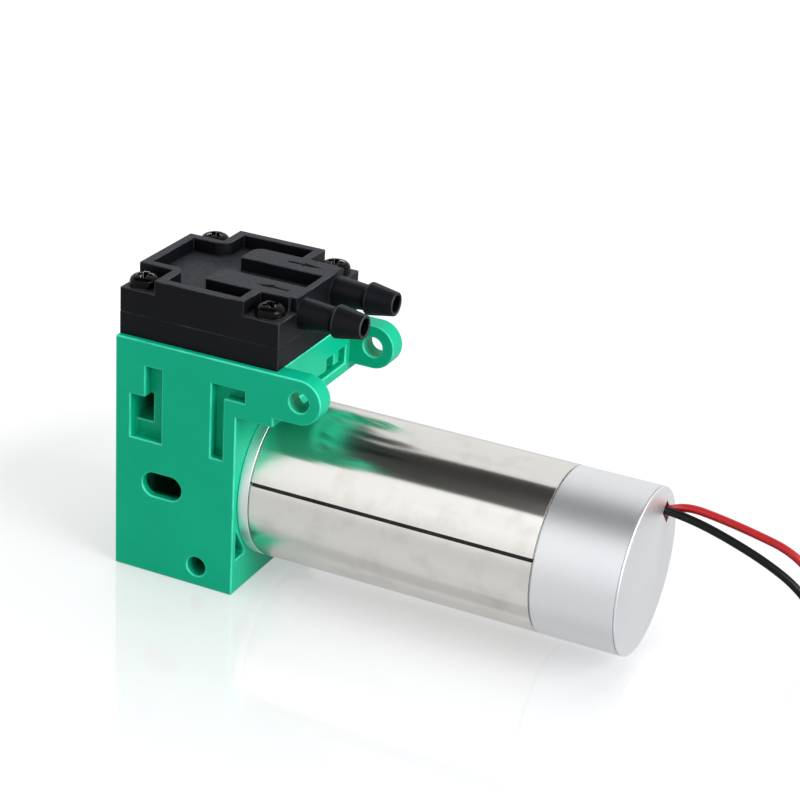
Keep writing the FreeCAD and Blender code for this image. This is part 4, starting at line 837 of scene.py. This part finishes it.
def floor_shine(tree, place):
    """The floor's own mirroring, and its share, which fades beside the pump and past its end."""
    beside = add(tree, "SeparateXYZ", {"Vector": place}).outputs
    sideways = add(tree, "Math", {0: beside["Y"]}, operation="ABSOLUTE").outputs[0]
    faded = calculate(tree, "MAXIMUM", ramp(tree, sideways, *FLOOR_SHINE_REACH),
                      ramp(tree, beside["X"], *FLOOR_SHINE_END))
    shine = add(tree, "BsdfGlossy", {"Color": WHITE, "Roughness": FLOOR_SHINE_ROUGHNESS})
    return shine.outputs[0], between(tree, faded, *FLOOR_SHINE)


def floor_white():
    """White to the camera away from the pump, a little shiny, with painted shade near the pump, and darker
    to mirrors close to the pump: a painted shadow.
    """
    material, tree, principled = new_material("floor_white", Roughness=0.5, Specular_IOR_Level=0.2)
    bounced = add(tree, "LightPath").outputs["Is Diffuse Ray"]
    colour = mix_colour(tree, bounced, FLOOR_WHITE, (FLOOR_BOUNCE, FLOOR_BOUNCE, FLOOR_BOUNCE, 1))
    tree.links.new(colour, principled.inputs["Base Color"])
    place = add(tree, "TexCoord").outputs["Object"]
    seen, mirrored = seen_shares(tree)
    glow, cleared = floor_glow(tree, mirrored, place)
    share = calculate(tree, "ADD", calculate(tree, "MULTIPLY", seen, between(tree, cleared, FLOOR_SHARE, 1)),
                      calculate(tree, "MULTIPLY", mirrored, FLOOR_MIRRORED_SHARE))
    lit = add(tree, "MixShader", {0: share, 1: principled.outputs[0], 2: glow}).outputs[0]
    shine, shine_share = floor_shine(tree, place)
    polished = add(tree, "MixShader", {0: shine_share, 1: lit, 2: shine})
    tree.links.new(polished.outputs[0], tree.nodes["Material Output"].inputs["Surface"])
    return material


def add_sheet(name, middle, lengths, material):
    """A level rectangle that belongs to the studio."""
    bm = bmesh.new()
    bmesh.ops.create_grid(bm, x_segments=1, y_segments=1, size=0.5)
    bmesh.ops.scale(bm, vec=lengths, verts=bm.verts)
    bmesh.ops.translate(bm, vec=middle, verts=bm.verts)
    piece = bpy.data.objects.new(name, to_mesh(bm, name))
    bpy.context.scene.collection.objects.link(piece)
    piece.data.materials.append(material)
    return piece


def add_floor():
    add_sheet("floor", (0, 0, -FLOOR_DROP), (FLOOR_SIZE, FLOOR_SIZE, 1), floor_white())


def add_dark_ceiling():
    """A dark card that only mirrors show, for the dark band along the sleeve."""
    material = bpy.data.materials.new("dark_ceiling")
    material.use_nodes = True
    tree = material.node_tree
    tree.nodes.remove(tree.nodes["Principled BSDF"])
    glow = add(tree, "Emission", {"Color": CEILING_COLOUR, "Strength": 1})
    tree.links.new(glow.outputs[0], tree.nodes["Material Output"].inputs["Surface"])
    card = add_sheet("dark_ceiling", CEILING_MIDDLE, CEILING_LENGTHS, material)
    for rays in ("camera", "diffuse", "shadow", "transmission"):
        setattr(card, f"visible_{rays}", False)


def add_world():
    """White as the background, soft as a light, and in mirrors paler towards the front and the top."""
    world = bpy.data.worlds.new("studio")
    world.use_nodes = True
    bpy.context.scene.world = world
    tree = world.node_tree
    seen, mirrored = seen_shares(tree)
    towards = add(tree, "SeparateXYZ", {"Vector": add(tree, "TexCoord").outputs["Generated"]}).outputs
    front = calculate(tree, "MULTIPLY_ADD", towards["Y"], -1.5, 0.5)
    rise = calculate(tree, "MULTIPLY", front, calculate(tree, "MULTIPLY", towards["Z"], 1.15))
    in_mirror = calculate(tree, "MULTIPLY_ADD", rise, WORLD_MIRRORED_RISE, WORLD_MIRRORED)
    level = add(tree, "Mix", {0: mirrored, 2: WORLD_LIGHT, 3: in_mirror}).outputs[0]
    strength = add(tree, "Mix", {0: seen, 2: level, 3: 1.0}).outputs[0]
    background = tree.nodes["Background"]
    background.inputs["Color"].default_value = WHITE
    tree.links.new(strength, background.inputs["Strength"])


def add_lamp(name, place, size, power, glossy=True):
    """A square lamp that looks at the pump."""
    data = bpy.data.lights.new(name, "AREA")
    data.shape = "RECTANGLE"
    data.size = size
    data.size_y = size
    data.energy = power
    lamp = bpy.data.objects.new(name, data)
    bpy.context.scene.collection.objects.link(lamp)
    turn = (Vector(place) - LIT_MIDDLE).to_track_quat("Z", "Y")
    lamp.matrix_world = Matrix.Translation(place) @ turn.to_matrix().to_4x4()
    lamp.visible_glossy = glossy


def light_studio():
    add_world()
    add_floor()
    add_lamp("right_softbox", place=(0.6, -0.12, 0.34), size=0.4, power=4.2)
    add_lamp("top_softbox", place=(0.0, 0.15, 0.8), size=0.8, power=2.6, glossy=False)
    add_dark_ceiling()


def main():
    add_camera()
    lead("red_wire", RED_ROUTE, RED_COIL_TOP, RED_TAIL, MATERIALS["red_insulation"],
         ("red_lead", "red_coil"))
    lead("black_wire", BLACK_ROUTE, BLACK_COIL_TOP, BLACK_TAIL, MATERIALS["black_insulation"],
         ("black_lead", "black_coil"))
    motor_sleeve()
    end_cap()
    head_screws()
    dress_rigid_pieces()
    light_studio()
    bpy.context.scene.view_settings.view_transform = "Standard"


main()
